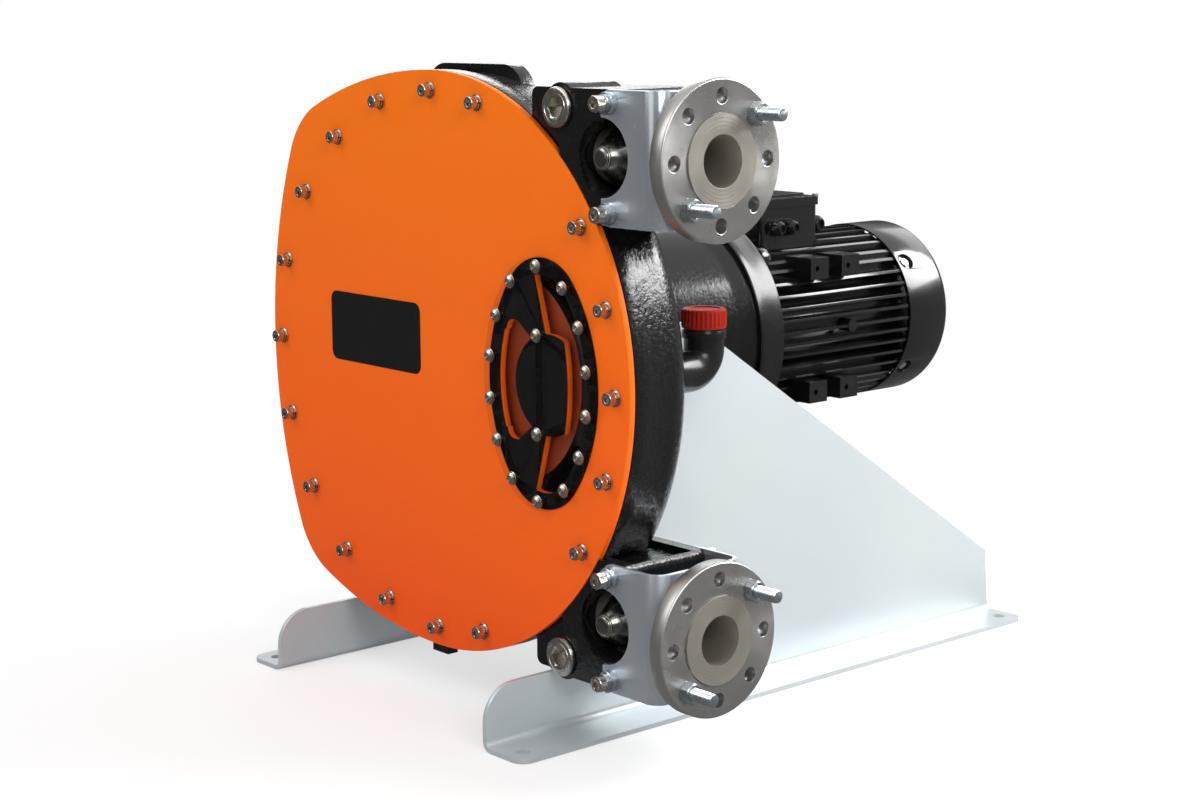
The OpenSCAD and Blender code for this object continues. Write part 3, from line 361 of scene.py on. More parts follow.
@dataclass(frozen=True)
class CoverPaint(Finish):
    """Orange powder coat with a fine peel, and painted light: lighter and warmer where the sheet is high,
    with painted shade making it redder and darker low down.
    """

    # The colour at the foot height: painted shade, redder and darker than the lit orange
    low: Colour = (0.80, 0.084, 0.005)
    foot: float = 0.1
    head: float = 0.8

    def wire(self, look: Recipe) -> None:
        """Wires the material."""
        # Painted light: the colour runs by height from the painted-shade colour at foot up to the lit orange
        # at head
        rise = look.remap(look.split(look.coords)[2], self.foot, self.head, 0.0, 1.0)
        base = look.layer(rise, self.low, self.colour)
        patches = look.remap(look.noise(4.0, 2.0), 0.35, 0.65, 0.0, 0.12)
        base = look.layer(patches, base, shade(self.colour, 0.9))
        smudge = look.noise(11.0, 4.0, 0.6)
        look.set(
            Base_Color=base,
            Roughness=look.remap(smudge, 0.3, 0.75, 0.42, 0.5),
            Specular_IOR_Level=0.12,
            Normal=look.bump(look.noise(620.0, 2.0), 0.25, 0.00008),
        )


@dataclass(frozen=True)
class RotorPaint(Finish):
    """Brown-red primer on the faces across an axis, and bare turned steel on the rims round it."""

    bare: Colour = (0.30, 0.29, 0.28)

    def wire(self, look: Recipe) -> None:
        """Wires the material."""
        across = look.split(look.node("NewGeometry").outputs["True Normal"])[1]
        face = look.remap(look.math("ABSOLUTE", across), 0.45, 0.55, 0.0, 1.0)
        patches = look.noise(18.0, 4.0, 0.6)
        paint = look.mottle(patches, self.colour, 0.7, 1.25)
        metal = look.mottle(look.noise(60.0, 3.0), self.bare, 0.8, 1.2)
        look.set(
            Base_Color=look.layer(face, metal, paint),
            Metallic=look.remap(face, 0.0, 1.0, 1.0, 0.0),
            Roughness=look.remap(patches, 0.3, 0.7, 0.34, 0.5),
            Normal=look.bump(look.noise(500.0, 2.0), 0.3, 0.0002),
        )


@dataclass(frozen=True)
class ZincSheet(Finish):
    """Zinc-plated sheet: cool satin metal with cloudy, faintly iridescent patches and rolling marks."""

    metal: float = 0.4
    rough: float = 0.38

    def wire(self, look: Recipe) -> None:
        """Wires the material."""
        clouds = look.noise(3.2, 4.0, 0.55)
        rolled = look.noise(1.0, 3.0, 0.6, look.scaled((900.0, 900.0, 14.0)))
        base = look.mottle(clouds, self.colour, 0.93, 1.08)
        blush = look.remap(look.noise(2.1, 2.0), 0.42, 0.7, 0.0, 0.22)
        base = look.layer(blush, base, tinged(self.colour, (1.06, 1.04, 0.93)))
        cool = look.remap(look.noise(1.4, 2.0), 0.5, 0.75, 0.0, 0.3)
        base = look.layer(cool, base, tinged(self.colour, (0.90, 0.98, 1.08)))
        look.set(
            Base_Color=base,
            Metallic=self.metal,
            Roughness=look.remap(clouds, 0.3, 0.7, self.rough, self.rough + 0.14),
            Normal=look.bump(rolled, 0.12, 0.00006),
        )


@dataclass(frozen=True)
class TurnedSteel(Finish):
    """Machined stainless steel with turning marks about an axis."""

    centre: Point = (0.0, 0.0, 0.0)
    axis: int = 0
    pitch: float = 0.0011
    rough: float = 0.28
    depth: float = 0.00005
    metal: float = 1.0
    sheen: float = 0.0

    def wire(self, look: Recipe) -> None:
        """Wires the material."""
        marks = look.rings(self.centre, self.axis, self.pitch)
        broad = look.rings(self.centre, self.axis, self.pitch * 11.7)
        clouds = look.noise(22.0, 4.0, 0.6)
        base = look.mottle(clouds, self.colour, 0.82, 1.1)
        shares = (look.math("MULTIPLY", marks, 0.75), look.math("MULTIPLY", broad, 0.25))
        mixed = look.math("ADD", *shares)
        look.set(
            Base_Color=base,
            Metallic=self.metal,
            Roughness=look.remap(clouds, 0.3, 0.7, self.rough - 0.04, self.rough + 0.1),
            Normal=look.bump(mixed, 0.22, self.depth),
        )
        if self.sheen:
            around = look.node("Tangent", direction_type="RADIAL", axis="XYZ"[self.axis])
            look.set(Anisotropic=self.sheen, Tangent=around.outputs[0])


@dataclass(frozen=True)
class PlatedSteel(Finish):
    """Bright plated steel with tiny scratches and tarnish in patches."""

    rough: float = 0.2

    def wire(self, look: Recipe) -> None:
        """Wires the material."""
        clouds = look.noise(160.0, 3.0)
        tarnish = look.remap(look.noise(70.0, 4.0, 0.65), 0.5, 0.75, 0.0, 0.4)
        base = look.mottle(clouds, self.colour, 0.82, 1.08)
        base = look.layer(tarnish, base, (0.5, 0.46, 0.38))
        look.set(
            Base_Color=base,
            Metallic=1.0,
            Roughness=look.remap(clouds, 0.3, 0.7, self.rough - 0.05, self.rough + 0.12),
            Normal=look.bump(look.noise(900.0, 2.0), 0.1, 0.00004),
        )


@dataclass(frozen=True)
class Soft(Finish):
    """Rubber or moulded plastic with a fine grain."""

    rough: float = 0.55
    grain: float = 1400.0
    strength: float = 0.25
    gloss: float = 0.5

    def wire(self, look: Recipe) -> None:
        """Wires the material."""
        patches = look.noise(30.0, 3.0)
        base = look.mottle(patches, self.colour, 0.8, 1.25)
        look.set(
            Base_Color=base,
            Roughness=look.remap(patches, 0.3, 0.7, self.rough - 0.06, self.rough + 0.08),
            Specular_IOR_Level=self.gloss,
            Normal=look.bump(look.noise(self.grain, 3.0), self.strength, 0.00006),
        )


@dataclass(frozen=True)
class Pane(Finish):
    """Smoked clear plastic: mostly see-through, with a glossy face and light smears."""

    alpha: float = 0.08

    def wire(self, look: Recipe) -> None:
        """Wires the material."""
        smear = look.noise(26.0, 4.0, 0.6)
        look.set(
            Base_Color=look.mottle(smear, self.colour, 0.8, 1.4),
            Roughness=look.remap(smear, 0.4, 0.8, 0.03, 0.08),
            Alpha=self.alpha,
            Specular_IOR_Level=0.5,
        )


IRON_BLACK = (0.004, 0.004, 0.0042)
PAINT_BLACK = (0.005, 0.005, 0.0053)

CASTING = CastPaint("casting_black", IRON_BLACK)
GEAR_CASTING = CastPaint("gearbox_black", IRON_BLACK, grain=190.0, depth=0.0004, rough=0.12)
# The cover's lit orange; CoverPaint paints it redder and darker low down as painted shade
ORANGE = CoverPaint("cover_orange", (0.78, 0.152, 0.003))
MOTOR_BLACK = GlossPaint("motor_black", PAINT_BLACK, rough=0.2, peel=0.0002, coat=0.3)
ADAPTOR_BLACK = GlossPaint("adaptor_black", PAINT_BLACK, rough=0.22, peel=0.0003, coat=0.05, gloss=0.4)
ROTOR_RED = RotorPaint("rotor_red", (0.33, 0.05, 0.012))
ZINC = ZincSheet("zinc_sheet", (0.585, 0.63, 0.655), metal=0.4, rough=0.3)
BRACKET_ZINC = ZincSheet("zinc_bracket", (0.65, 0.70, 0.76), metal=0.85, rough=0.22)
PLATED = PlatedSteel("plated_steel", (0.62, 0.585, 0.53))
BOLT_ZINC = PlatedSteel("plated_zinc", (0.58, 0.63, 0.67), rough=0.28)
MACHINED = TurnedSteel("machined_steel", (0.5, 0.5, 0.51), (0.0, 0.0, AXIS_H), 1)
CONE = PlatedSteel("cone_steel", (0.27, 0.26, 0.24), rough=0.18)
SHOE = TurnedSteel("shoe_alloy", (0.6, 0.6, 0.62), (0.0, 0.0, AXIS_H), 1, pitch=0.0023, rough=0.36)
RUBBER = Soft("black_rubber", (0.006, 0.006, 0.006), rough=0.6, gloss=0.2)
PLASTIC = Soft("black_plastic", (0.008, 0.008, 0.0085), rough=0.22, grain=2200.0, strength=0.1, gloss=0.35)
LABEL = Soft("label_film", (0.007, 0.007, 0.0075), rough=0.34, grain=3000.0, strength=0.05, gloss=0.3)
RED = Soft("cap_red", (0.24, 0.012, 0.005), rough=0.4, grain=1800.0, strength=0.12, gloss=0.08)
SMOKED = Pane("smoked_pane", (0.006, 0.005, 0.005))


def port_height(side: str) -> float:
    """The height of the upper or lower port's axis above the ground."""
    return AXIS_H + (PORT_H if side == "top" else -PORT_H)


def flange_steel(side: str) -> TurnedSteel:
    """Stainless steel turned about the upper or lower port's axis."""
    centre = (0.0, PORT_Y, port_height(side))
    return TurnedSteel(f"flange_{side}", (0.44, 0.43, 0.415), centre, 0, metal=0.9, sheen=0.75)


def insert_steel(side: str) -> TurnedSteel:
    """The duller, warmer steel of the hose inserts."""
    centre, marks = (0.0, PORT_Y, port_height(side)), {"pitch": 0.0044, "depth": 0.0004}
    return TurnedSteel(f"insert_{side}", (0.43, 0.40, 0.345), centre, 0, rough=0.36, metal=0.8, **marks)


@dataclass(frozen=True)
class Ring:
    """One ring of a turned solid; flats cut it to a hexagon, and ribs cut grooves into it."""

    radius: float
    height: float
    flats: float = 0.0
    ribs: float = 0.0
    rib_count: int = 36

    def reach(self, turn: float) -> float:
        """The ring's radius in one direction."""
        reach = self.radius
        if self.flats:
            reach = min(reach, self.flats / math.cos((turn % (math.pi / 3)) - math.pi / 6))
        if self.ribs:
            reach -= self.ribs * (0.5 - 0.5 * math.cos(self.rib_count * turn))
        return reach


def plain(*corners: tuple[float, float]) -> list[Ring]:
    """Round rings from pairs of radius and height."""
    return [Ring(radius, height) for radius, height in corners]


@dataclass(frozen=True)
class Box:
    """The lowest and highest corners of one solid."""

    low: Vector
    high: Vector

    @property
    def middle(self) -> Vector:
        """The box's centre."""
        return (self.low + self.high) / 2

    @property
    def size(self) -> Vector:
        """The box's sides."""
        return self.high - self.low

    def at(self, y: float) -> Point:
        """The point at the given y on the line through the box's middle."""
        return (self.middle.x, y, self.middle.z)

    def left(self) -> Point:
        """The middle of the side that faces -X."""
        return (self.low.x, self.middle.y, self.middle.z)


def solids(node: str) -> list[Box]:
    """Boxes of the separate solids in one CAD node.

    Args:
        node: the CAD node's name.

    Returns:
        One box for each group of faces that share corners.
    """
    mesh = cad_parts[node].data
    keys = [tuple(round(c * 1e5) for c in v.co) for v in mesh.vertices]
    parent: dict[tuple, tuple] = {k: k for k in keys}

    def root(key: tuple) -> tuple:
        """The key that stands for a whole group."""
        while parent[key] != key:
            parent[key] = parent[parent[key]]
            key = parent[key]
        return key

    for face in mesh.polygons:
        first = root(keys[face.vertices[0]])
        for index in face.vertices[1:]:
            other = root(keys[index])
            parent[other] = first
    groups: dict[tuple, list[Vector]] = {}
    for vertex, key in zip(mesh.vertices, keys):
        groups.setdefault(root(key), []).append(vertex.co)
    boxes = []
    for points in groups.values():
        low = Vector(tuple(min(p[i] for p in points) for i in range(3)))
        high = Vector(tuple(max(p[i] for p in points) for i in range(3)))
        boxes.append(Box(low, high))
    return boxes


@dataclass
class MeshKit:
    """Collects turned solids, threads and spring washers into one mesh object."""

    name: str
    bm: bmesh.types.BMesh = field(default_factory=bmesh.new)

    def _vert(self, place: Matrix, reach: float, turn: float, height: float) -> bmesh.types.BMVert:
        """A new corner, at a distance and a direction from the solid's own Z axis."""
        return self.bm.verts.new(place @ Vector((reach * math.cos(turn), reach * math.sin(turn), height)))

    def turned(
        self, rings: Sequence[Ring], place: Matrix, segments: int = 36, hollow: bool = False
    ) -> None:
        """Adds a solid of revolution.

        Args:
            rings: the profile, from one end to the other, or once round it for a hollow ring.
            place: turns and moves the solid's own Z axis into the frame.
            segments: points round the circle.
            hollow: the profile closes on itself, as a washer's does.
        """
        turns = [2 * math.pi * k / segments for k in range(segments)]
        made: list[list[bmesh.types.BMVert]] = []
        for ring in rings:
            if ring.radius <= 1e-7:
                made.append([self.bm.verts.new(place @ Vector((0.0, 0.0, ring.height)))])
                continue
            made.append([self._vert(place, ring.reach(t), t, ring.height) for t in turns])
        if hollow:
            made.append(made[0])
        self._skin(made, capped=not hollow)

    def thread(self, radius: float, pitch: float, length: float, place: Matrix, segments: int = 20) -> None:
        """Adds a threaded rod with a real helix and a plain point at each end.

        Args:
            radius: the crest's radius.
            pitch: one turn's rise.
            length: the rod's length, from height 0 up.
            place: turns and moves the solid into the frame.
            segments: points round the rod.
        """
        depth, steps_a_turn, point_share = 0.61 * pitch, 5, 0.12
        count = max(4, round(length / pitch * steps_a_turn))
        made: list[list[bmesh.types.BMVert]] = []
        for step in range(count + 1):
            height = length * step / count
            fade = min(1.0, height / pitch, (length - height) / pitch)
            ring = []
            for k in range(segments):
                turn = 2 * math.pi * k / segments
                phase = (height / pitch - turn / (2 * math.pi)) % 1.0
                reach = radius - depth * abs(2 * phase - 1) - (1 - fade) * (radius * point_share)
                ring.append(self._vert(place, reach, turn, height))
            made.append(ring)
        self._skin(made, capped=True)

    def coil_washer(self, inner: float, outer: float, thick: float, place: Matrix) -> None:
        """Adds a split spring washer on the solid's own Z, standing on height 0."""
        rise, steps, gap_deg = 0.0004, 30, 10
        section = ((inner, 0.0), (outer, 0.0), (outer, thick - rise), (inner, thick - rise))
        made: list[list[bmesh.types.BMVert]] = []
        for step in range(steps + 1):
            turn = math.radians(gap_deg / 2 + (360 - gap_deg) * step / steps)
            lift = rise * step / steps
            made.append([self._vert(place, reach, turn, height + lift) for reach, height in section])
        self._skin(made, capped=True)

    def _skin(self, rings: list[list[bmesh.types.BMVert]], capped: bool) -> None:
        """Joins successive rings, and closes both ends if asked."""
        for a, b in zip(rings, rings[1:]):
            for k in range(max(len(a), len(b))):
                quad = [a[k % len(a)], a[(k + 1) % len(a)], b[(k + 1) % len(b)], b[k % len(b)]]
                corners = list(dict.fromkeys(quad))
                if len(corners) > 2:
                    self.bm.faces.new(corners)
        if capped:
            for end in (rings[0], rings[-1]):
                if len(end) > 2:
                    self.bm.faces.new(end)

    def finish(
        self, finish: Finish, slot: Slot, body: str, *nodes: str, smooth_deg: float = SHARP_DEG
    ) -> None:
        """Makes the object, dresses it and lets it ride on a body.

        Args:
            finish: the surface finish.
            slot: a material slot name; not used.
            body: the CAD body it moves with.
            nodes: the CAD nodes that it stands for.
            smooth_deg: flatter edges than this are smooth.
        """
        bmesh.ops.recalc_face_normals(self.bm, faces=self.bm.faces)
        mesh = bpy.data.meshes.new(self.name)
        self.bm.to_mesh(mesh)
        self.bm.free()
        obj = new_object(self.name, mesh)
        mesh.shade_smooth()
        mesh.set_sharp_from_angle(angle=math.radians(smooth_deg))
        mesh.materials.append(finish.material())
        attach(obj, body)
        if nodes:
            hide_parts(*nodes)
        LOG.info("piece %s: %d faces", self.name, len(mesh.polygons))


@dataclass(frozen=True)
class CapScrew:
    """A socket-head cap screw; its head's outer face is at height 0 and the shank goes down."""

    head: float
    head_len: float
    shank: float
    length: float
    socket: float

    def add(self, kit: MeshKit, place: Matrix) -> None:
        """Adds the screw to a piece."""
        floor, rim = -0.55 * self.head_len, self.socket * 1.155 + 0.0004
        head, foot, chamfer, knurl = self.head, -self.head_len, 0.11 * self.head, 0.0004
        kit.turned(
            [
                Ring(BEYOND, floor, flats=self.socket), Ring(BEYOND, -0.0005, flats=self.socket),
                *plain((rim, 0.0), (head - chamfer, 0.0), (head - 0.3 * chamfer, -0.35 * chamfer)),
                Ring(head, -chamfer), Ring(head, -chamfer - 0.0003, ribs=knurl),
                Ring(head, foot + 0.0011, ribs=knurl), Ring(head, foot + 0.0008),
                *plain((head - 0.0005, foot), (self.shank, foot), (self.shank, -self.length)),
            ],
            place,
            segments=72,
        )


@dataclass(frozen=True)
class HexScrew:
    """A hexagon-head screw with its washer; its head's outer face is at height 0."""

    length: float
    flats: float = 0.0096
    head_len: float = 0.008
    washer: float = 0.0132
    washer_len: float = 0.002
    shank: float = 0.0059

    def add(self, kit: MeshKit, place: Matrix) -> None:
        """Adds the screw to a piece."""
        flats, seat, corner = self.flats, -self.head_len, CORNERS * self.flats
        kit.turned(
            [
                *plain((0.0, -0.0002), (0.55 * flats, -0.0002), (0.6 * flats, 0.0), (0.93 * flats, 0.0)),
                Ring(1.02 * flats, -0.0006, flats=flats), Ring(1.08 * flats, -0.0011, flats=flats),
                Ring(corner, -0.0018, flats=flats), Ring(corner, seat, flats=flats),
                *plain((self.washer - 0.0003, seat), (self.washer, seat - 0.0003)),
                *plain((self.washer, seat - self.washer_len), (self.shank, seat - self.washer_len)),
                Ring(self.shank, -self.length),
            ],
            place,
        )


def washer(kit: MeshKit, inner: float, outer: float, low: float, high: float, place: Matrix) -> None:
    """Adds a flat washer with broken edges between two heights."""
    edge = 0.0004
    below = ((inner, low + edge), (inner + edge, low), (outer - edge, low), (outer, low + edge))
    above = ((outer, high - edge), (outer - edge, high), (inner + edge, high), (inner, high - edge))
    kit.turned(plain(*below, *above), place, hollow=True)


def dress(finish: Finish, *nodes: str, bevel: float = 0.0) -> None:
    """Gives CAD nodes a finish, and breaks their edges if asked.

    Args:
        finish: the surface finish.
        nodes: the CAD nodes' names.
        bevel: the broken edges' width; modifiers make them, and the mesh itself isn't touched.
    """
    for name in nodes:
        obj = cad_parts[name]
        obj.data.materials.clear()
        obj.data.materials.append(finish.material())
        if bevel:
            obj.modifiers.new("weld", "WELD").merge_threshold = WELD_GAP
            edges = obj.modifiers.new("edges", "BEVEL")
            edges.width, edges.segments, edges.limit_method = bevel, BEVEL_STEPS, "ANGLE"
            edges.angle_limit = math.radians(SHARP_DEG)
        LOG.info("node %s: %s", name, finish.name)


def stand_at(point: Vector | Point, axis: Axis) -> Matrix:
    """The matrix that stands a turned piece at a point, with its Z along an axis."""
    return Matrix.Translation(Vector(point)) @ axis.value


def hex_bolts(name: str, node: str) -> None:
    """Makes hexagon bolts that point forward, as one piece that stands for a CAD node."""
    kit = MeshKit(name)
    for box in solids(node):
        place = stand_at(box.at(box.high.y), Axis.BACK)
        HexScrew(box.size.y).add(kit, place)
    kit.finish(BOLT_ZINC, Slot.PLATED, "pump", node)


class SubAssembly:
    """A group of pieces that is dressed and built together."""

    def dress(self) -> None:
        """Finishes the CAD nodes."""

    def build(self) -> None:
        """Makes the finer pieces."""


@dataclass
class Stand(SubAssembly):
    """The two folded side sheets and their bolts."""

    def dress(self) -> None:
        """Finishes the CAD nodes."""
        dress(ZINC, "frame_left", "frame_right", bevel=0.0008)

    def build(self) -> None:
        """Makes the hexagon bolts behind the casing."""
        hex_bolts("frame_hex_bolts", "frame_bolts")


@dataclass
class Casing(SubAssembly):
    """The pump's casing, hose and seals."""

    def dress(self) -> None:
        """Finishes the CAD nodes."""
        dress(CASTING, "casing", bevel=0.0025)
        dress(RUBBER, "pump_hose", "hose_seals", "plug_seals", "cover_gasket", "shaft_seal")


@dataclass
class Cover(SubAssembly):
    """The orange cover with its screws, window and bare label."""

    socket: float = 0.004
    head_len: float = 0.010
    shank: float = 0.0049
    washer_t: float = 0.0025
    washer_r: float = 0.0105
    spring_r: float = 0.009
    dome_r: float = 0.010
    dome_drop: float = 0.0034
    dome_edge: float = 0.0076
    dome_start: float = 0.0036
    dome_steps: int = 5
    dome_socket: float = 0.0025
    dome_shank: float = 0.0038
    pane_washer_r: float = 0.0086
    pane_washer_t: float = 0.0016

    def dress(self) -> None:
        """Finishes the CAD nodes."""
        dress(ORANGE, "cover_plate", bevel=0.0009)
        dress(LABEL, "label_plate", bevel=0.0002)
        dress(RUBBER, "window_gasket")
        dress(SMOKED, "window_pane", bevel=0.0006)

    def build(self) -> None:
        """Makes the cover's and the window's screws."""
        screws, washers = MeshKit("cover_cap_screws"), MeshKit("cover_screw_washers")
        for box in solids("cover_screws"):
            screw = CapScrew(box.size.x / 2, self.head_len, self.shank, box.size.y, self.socket)
            screw.add(screws, stand_at(box.at(box.low.y), Axis.FRONT))
            bore, thick = self.shank + 0.0005, self.washer_t
            washer(washers, bore, self.washer_r, 0.0, thick, stand_at(box.at(COVER_Y), Axis.FRONT))
            washers.coil_washer(bore, self.spring_r, thick, stand_at(box.at(COVER_Y - thick), Axis.FRONT))
        screws.finish(PLATED, Slot.PLATED, "pump", "cover_screws")
        washers.finish(PLATED, Slot.PLATED, "pump", "cover_washers")
        self.window_screws()

    def window_screws(self) -> None:
        """Makes the button-head screws that hold the pane."""
        kit = MeshKit("window_button_screws")
        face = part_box("window_pane")[0][1]
        for box in solids("window_screws"):
            place = stand_at(box.at(face), Axis.FRONT)
            dome = [Ring(BEYOND, height, flats=self.dome_socket) for height in (0.0030, 0.0056)]
            dome.append(Ring(0.0031, 0.0059))
            for step in range(self.dome_steps + 1):
                reach = self.dome_start + (self.dome_edge - self.dome_start) * step / self.dome_steps
                dome.append(Ring(reach, math.sqrt(self.dome_r**2 - reach**2) - self.dome_drop))
            dome += plain(
                (self.dome_edge, self.pane_washer_t),
                (self.dome_shank, self.pane_washer_t),
                (self.dome_shank, -(box.high.y - face)),
            )
            kit.turned(dome, place)
            washer(kit, 0.0041, self.pane_washer_r, 0.0, self.pane_washer_t, place)
        kit.finish(PLATED, Slot.PLATED, "pump", "window_screws")


@dataclass
class Ports(SubAssembly):
    """The two flanged ports with their brackets, inserts and plugs."""

    bracket_x: float = 0.326
    stud_r: float = 0.008
    stud_pitch: float = 0.002
    nut_flats: float = 0.012
    plug_socket: float = 0.011
    ear_head: float = 0.0096
    ear_head_len: float = 0.012
    ear_shank: float = 0.0059
    ear_socket: float = 0.0048
    spacer_r: float = 0.013
    spacer_neck: float = 0.0105

    def dress(self) -> None:
        """Finishes the CAD nodes."""
        for side in SIDES:
            dress(flange_steel(side), f"port_flange_{side}", bevel=0.0008)
            dress(insert_steel(side), f"hose_insert_{side}", bevel=0.0008)
            dress(BRACKET_ZINC, f"port_bracket_{side}", bevel=0.0008)

    def build(self) -> None:
        """Makes the studs, nuts, plugs, bracket screws and spacers."""
        self.noses()
        self.studs()
        self.nuts()
        self.plugs()
        self.ear_screws()

    def noses(self) -> None:
        """Makes the polished cones that show in the brackets' openings."""
        for side in SIDES:
            kit = MeshKit(f"insert_cone_{side}")
            profile = plain(
                (0.0, -0.0285), (0.0344, -0.0285), (0.0338, -0.0272), (0.0150, 0.0010),
                (0.0147, 0.0016), (0.0124, 0.0017), (0.0124, 0.0036), (0.0120, 0.0046),
                (0.0108, 0.0056), (0.0086, 0.0064), (0.0055, 0.0068), (0.0, 0.0070),
            )
            centre = (self.bracket_x, COVER_Y, port_height(side))
            kit.turned(profile, stand_at(centre, Axis.FRONT), segments=64)
            kit.finish(CONE, Slot.STAINLESS, "pump")

    def studs(self) -> None:
        """Makes the threaded studs in the flanges."""
        kit = MeshKit("flange_threaded_studs")
        for box in solids("flange_studs"):
            place = stand_at(box.left(), Axis.RIGHT)
            kit.thread(self.stud_r - 0.00005, self.stud_pitch, box.size.x, place)
        kit.finish(BOLT_ZINC, Slot.PLATED, "pump", "flange_studs", smooth_deg=50.0)

    def nuts(self) -> None:
        """Makes the chamfered nuts on the studs."""
        kit = MeshKit("stud_hex_nuts")
        inner = self.stud_r + 0.0001
        for box in solids("stud_nuts"):
            place = stand_at(box.left(), Axis.RIGHT)
            f, t = self.nut_flats, box.size.x
            steps = ((0.965 * f, 0.0), (1.03 * f, 0.0007), (1.09 * f, 0.0013), (CORNERS * f, 0.0021))
            below = [Ring(r, h, flats=f) for r, h in steps]
            above = [Ring(r, t - h, flats=f) for r, h in reversed(steps)]
            wide, edge = inner + 0.0009, 0.0009
            bore = plain((wide, t), (inner, t - edge), (inner, edge), (wide, 0.0))
            kit.turned(below + above + bore, place, hollow=True)
        kit.finish(BOLT_ZINC, Slot.PLATED, "pump", "stud_nuts")

    def plugs(self) -> None:
        """Makes the big socket plugs in the cross barrels."""
        for side in SIDES:
            low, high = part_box(f"port_plug_{side}")
            head = (high[0] - low[0]) / 2
            centre = ((low[0] + high[0]) / 2, low[1], (low[2] + high[2]) / 2)
            kit = MeshKit(f"socket_plug_{side}")
            sunk = [Ring(BEYOND, height, flats=self.plug_socket) for height in (-0.0135, -0.0012)]
            outer = plain(
                (0.0138, 0.0), (0.0172, 0.0), (0.0176, -0.0006), (0.0186, -0.0006), (0.0190, 0.0),
                (head - 0.0022, 0.0), (head - 0.0008, -0.0007), (head, -0.0022), (head, -0.0050),
                (head - 0.0008, -0.0058), (0.0188, -0.0058), (0.0188, -(high[1] - low[1])),
            )
            kit.turned(sunk + outer, stand_at(centre, Axis.FRONT), segments=60)
            kit.finish(PLATED, Slot.PLATED, "pump", f"port_plug_{side}")

    def ear_screws(self) -> None:
        """Makes the bracket screws and the stepped spacers under their heads."""
        screws, spacers = MeshKit("bracket_cap_screws"), MeshKit("bracket_step_spacers")
        for box in solids("bracket_screws"):
            screw = CapScrew(self.ear_head, self.ear_head_len, self.ear_shank, box.size.y, self.ear_socket)
            screw.add(screws, self.ear_place(box, outer=True))
        for box in solids("bracket_spacers"):
            bore, step, top = 0.0064, box.size.y - 0.004, box.size.y
            wide, waist, neck = self.spacer_r, self.spacer_r - 0.0009, self.spacer_neck
            profile = plain(
                (bore, 0.0), (wide - 0.0005, 0.0), (wide, 0.0005), (wide, 0.0030), (waist, 0.0034),
                (waist, 0.0046), (wide, 0.0050), (wide, step - 0.0006), (wide - 0.0006, step),
                (neck, step), (neck, top - 0.0004), (neck - 0.0004, top), (bore, top),
            )
            spacers.turned(profile, self.ear_place(box, outer=False), hollow=True)
        screws.finish(PLATED, Slot.PLATED, "pump", "bracket_screws")
        spacers.finish(BOLT_ZINC, Slot.PLATED, "pump", "bracket_spacers")

    def ear_place(self, box: Box, outer: bool) -> Matrix:
        """Stands a piece on a solid's outer or inner side, pointing away from the ports' axes."""
        rear = box.middle.y > PORT_Y
        return stand_at(box.at(box.high.y if rear == outer else box.low.y), Axis.BACK if rear else Axis.FRONT)


@dataclass
class Drive(SubAssembly):
    """Bearing housing, gearbox and motor."""

    def dress(self) -> None:
        """Finishes the CAD nodes."""
        dress(GEAR_CASTING, "bearing_housing", "gearbox", bevel=0.0015)
        dress(ADAPTOR_BLACK, "motor_adaptor", bevel=0.0012)
        dress(MOTOR_BLACK, "motor_front_shield", "motor_rear_shield", bevel=0.0012)
        dress(MOTOR_BLACK, "motor_body", bevel=0.0008)
        dress(MOTOR_BLACK, "fan_cowl", "terminal_box", "terminal_lid", bevel=0.0008)
        dress(MOTOR_BLACK, "adaptor_bolts", bevel=0.0005)
        dress(BOLT_ZINC, "cowl_screws", "lid_screws", bevel=0.0004)
        dress(PLASTIC, "cooling_fan", bevel=0.0005)
        dress(MACHINED, "shaft_bearings", "motor_bearings", "motor_shaft", "motor_core", bevel=0.0006)

    def build(self) -> None:
        """Makes the housing's bolts and the cable glands."""
        hex_bolts("housing_hex_bolts", "housing_bolts")
        glands = MeshKit("ribbed_cable_glands")
        for box in solids("cable_glands"):
            rear = box.size.y > box.size.x
            length = box.size.y if rear else box.size.x
            wide = min(box.size.z, box.size.x if rear else box.size.y) / 2
            foot, axis = (box.at(box.low.y), Axis.BACK) if rear else (box.left(), Axis.RIGHT)
            self.gland(glands, wide, length, stand_at(foot, axis))
        glands.finish(PLASTIC, Slot.PLASTIC, "pump", "cable_glands")

    def gland(self, kit: MeshKit, flats: float, length: float, place: Matrix) -> None:
        """Adds one gland: a hexagon, a ribbed compression nut and a rubber throat.

        Args:
            kit: the piece it goes into.
            flats: half the hexagon's width across its flats.
            length: from the thread's inner end to the nut's tip.
            place: stands it on the box's wall.
        """
        thread, nut, low, corner = 0.004, 0.95 * flats, 1.02 * flats, CORNERS * flats
        kit.turned(
            [
                *plain((0.0, 0.0), (0.72 * flats, 0.0), (0.72 * flats, thread)),
                Ring(low, thread, flats=flats), Ring(corner, thread + 0.0014, flats=flats),
                Ring(corner, thread + 0.0058, flats=flats), Ring(low, thread + 0.0070, flats=flats),
                *plain((0.82 * flats, thread + 0.0071), (0.82 * flats, thread + 0.0080)),
                Ring(nut, thread + 0.0086, ribs=0.0006, rib_count=18),
                Ring(nut, length - 0.0080, ribs=0.0008, rib_count=18),
                Ring(0.88 * nut, length - 0.0040, ribs=0.0004, rib_count=18),
                *plain((0.72 * nut, length - 0.0012), (0.62 * nut, length), (0.5 * nut, length)),
                *plain((0.46 * nut, length - 0.0010), (0.46 * nut, length - 0.0042)),
                Ring(0.0, length - 0.0042),
            ],
            place,
            segments=72,
        )


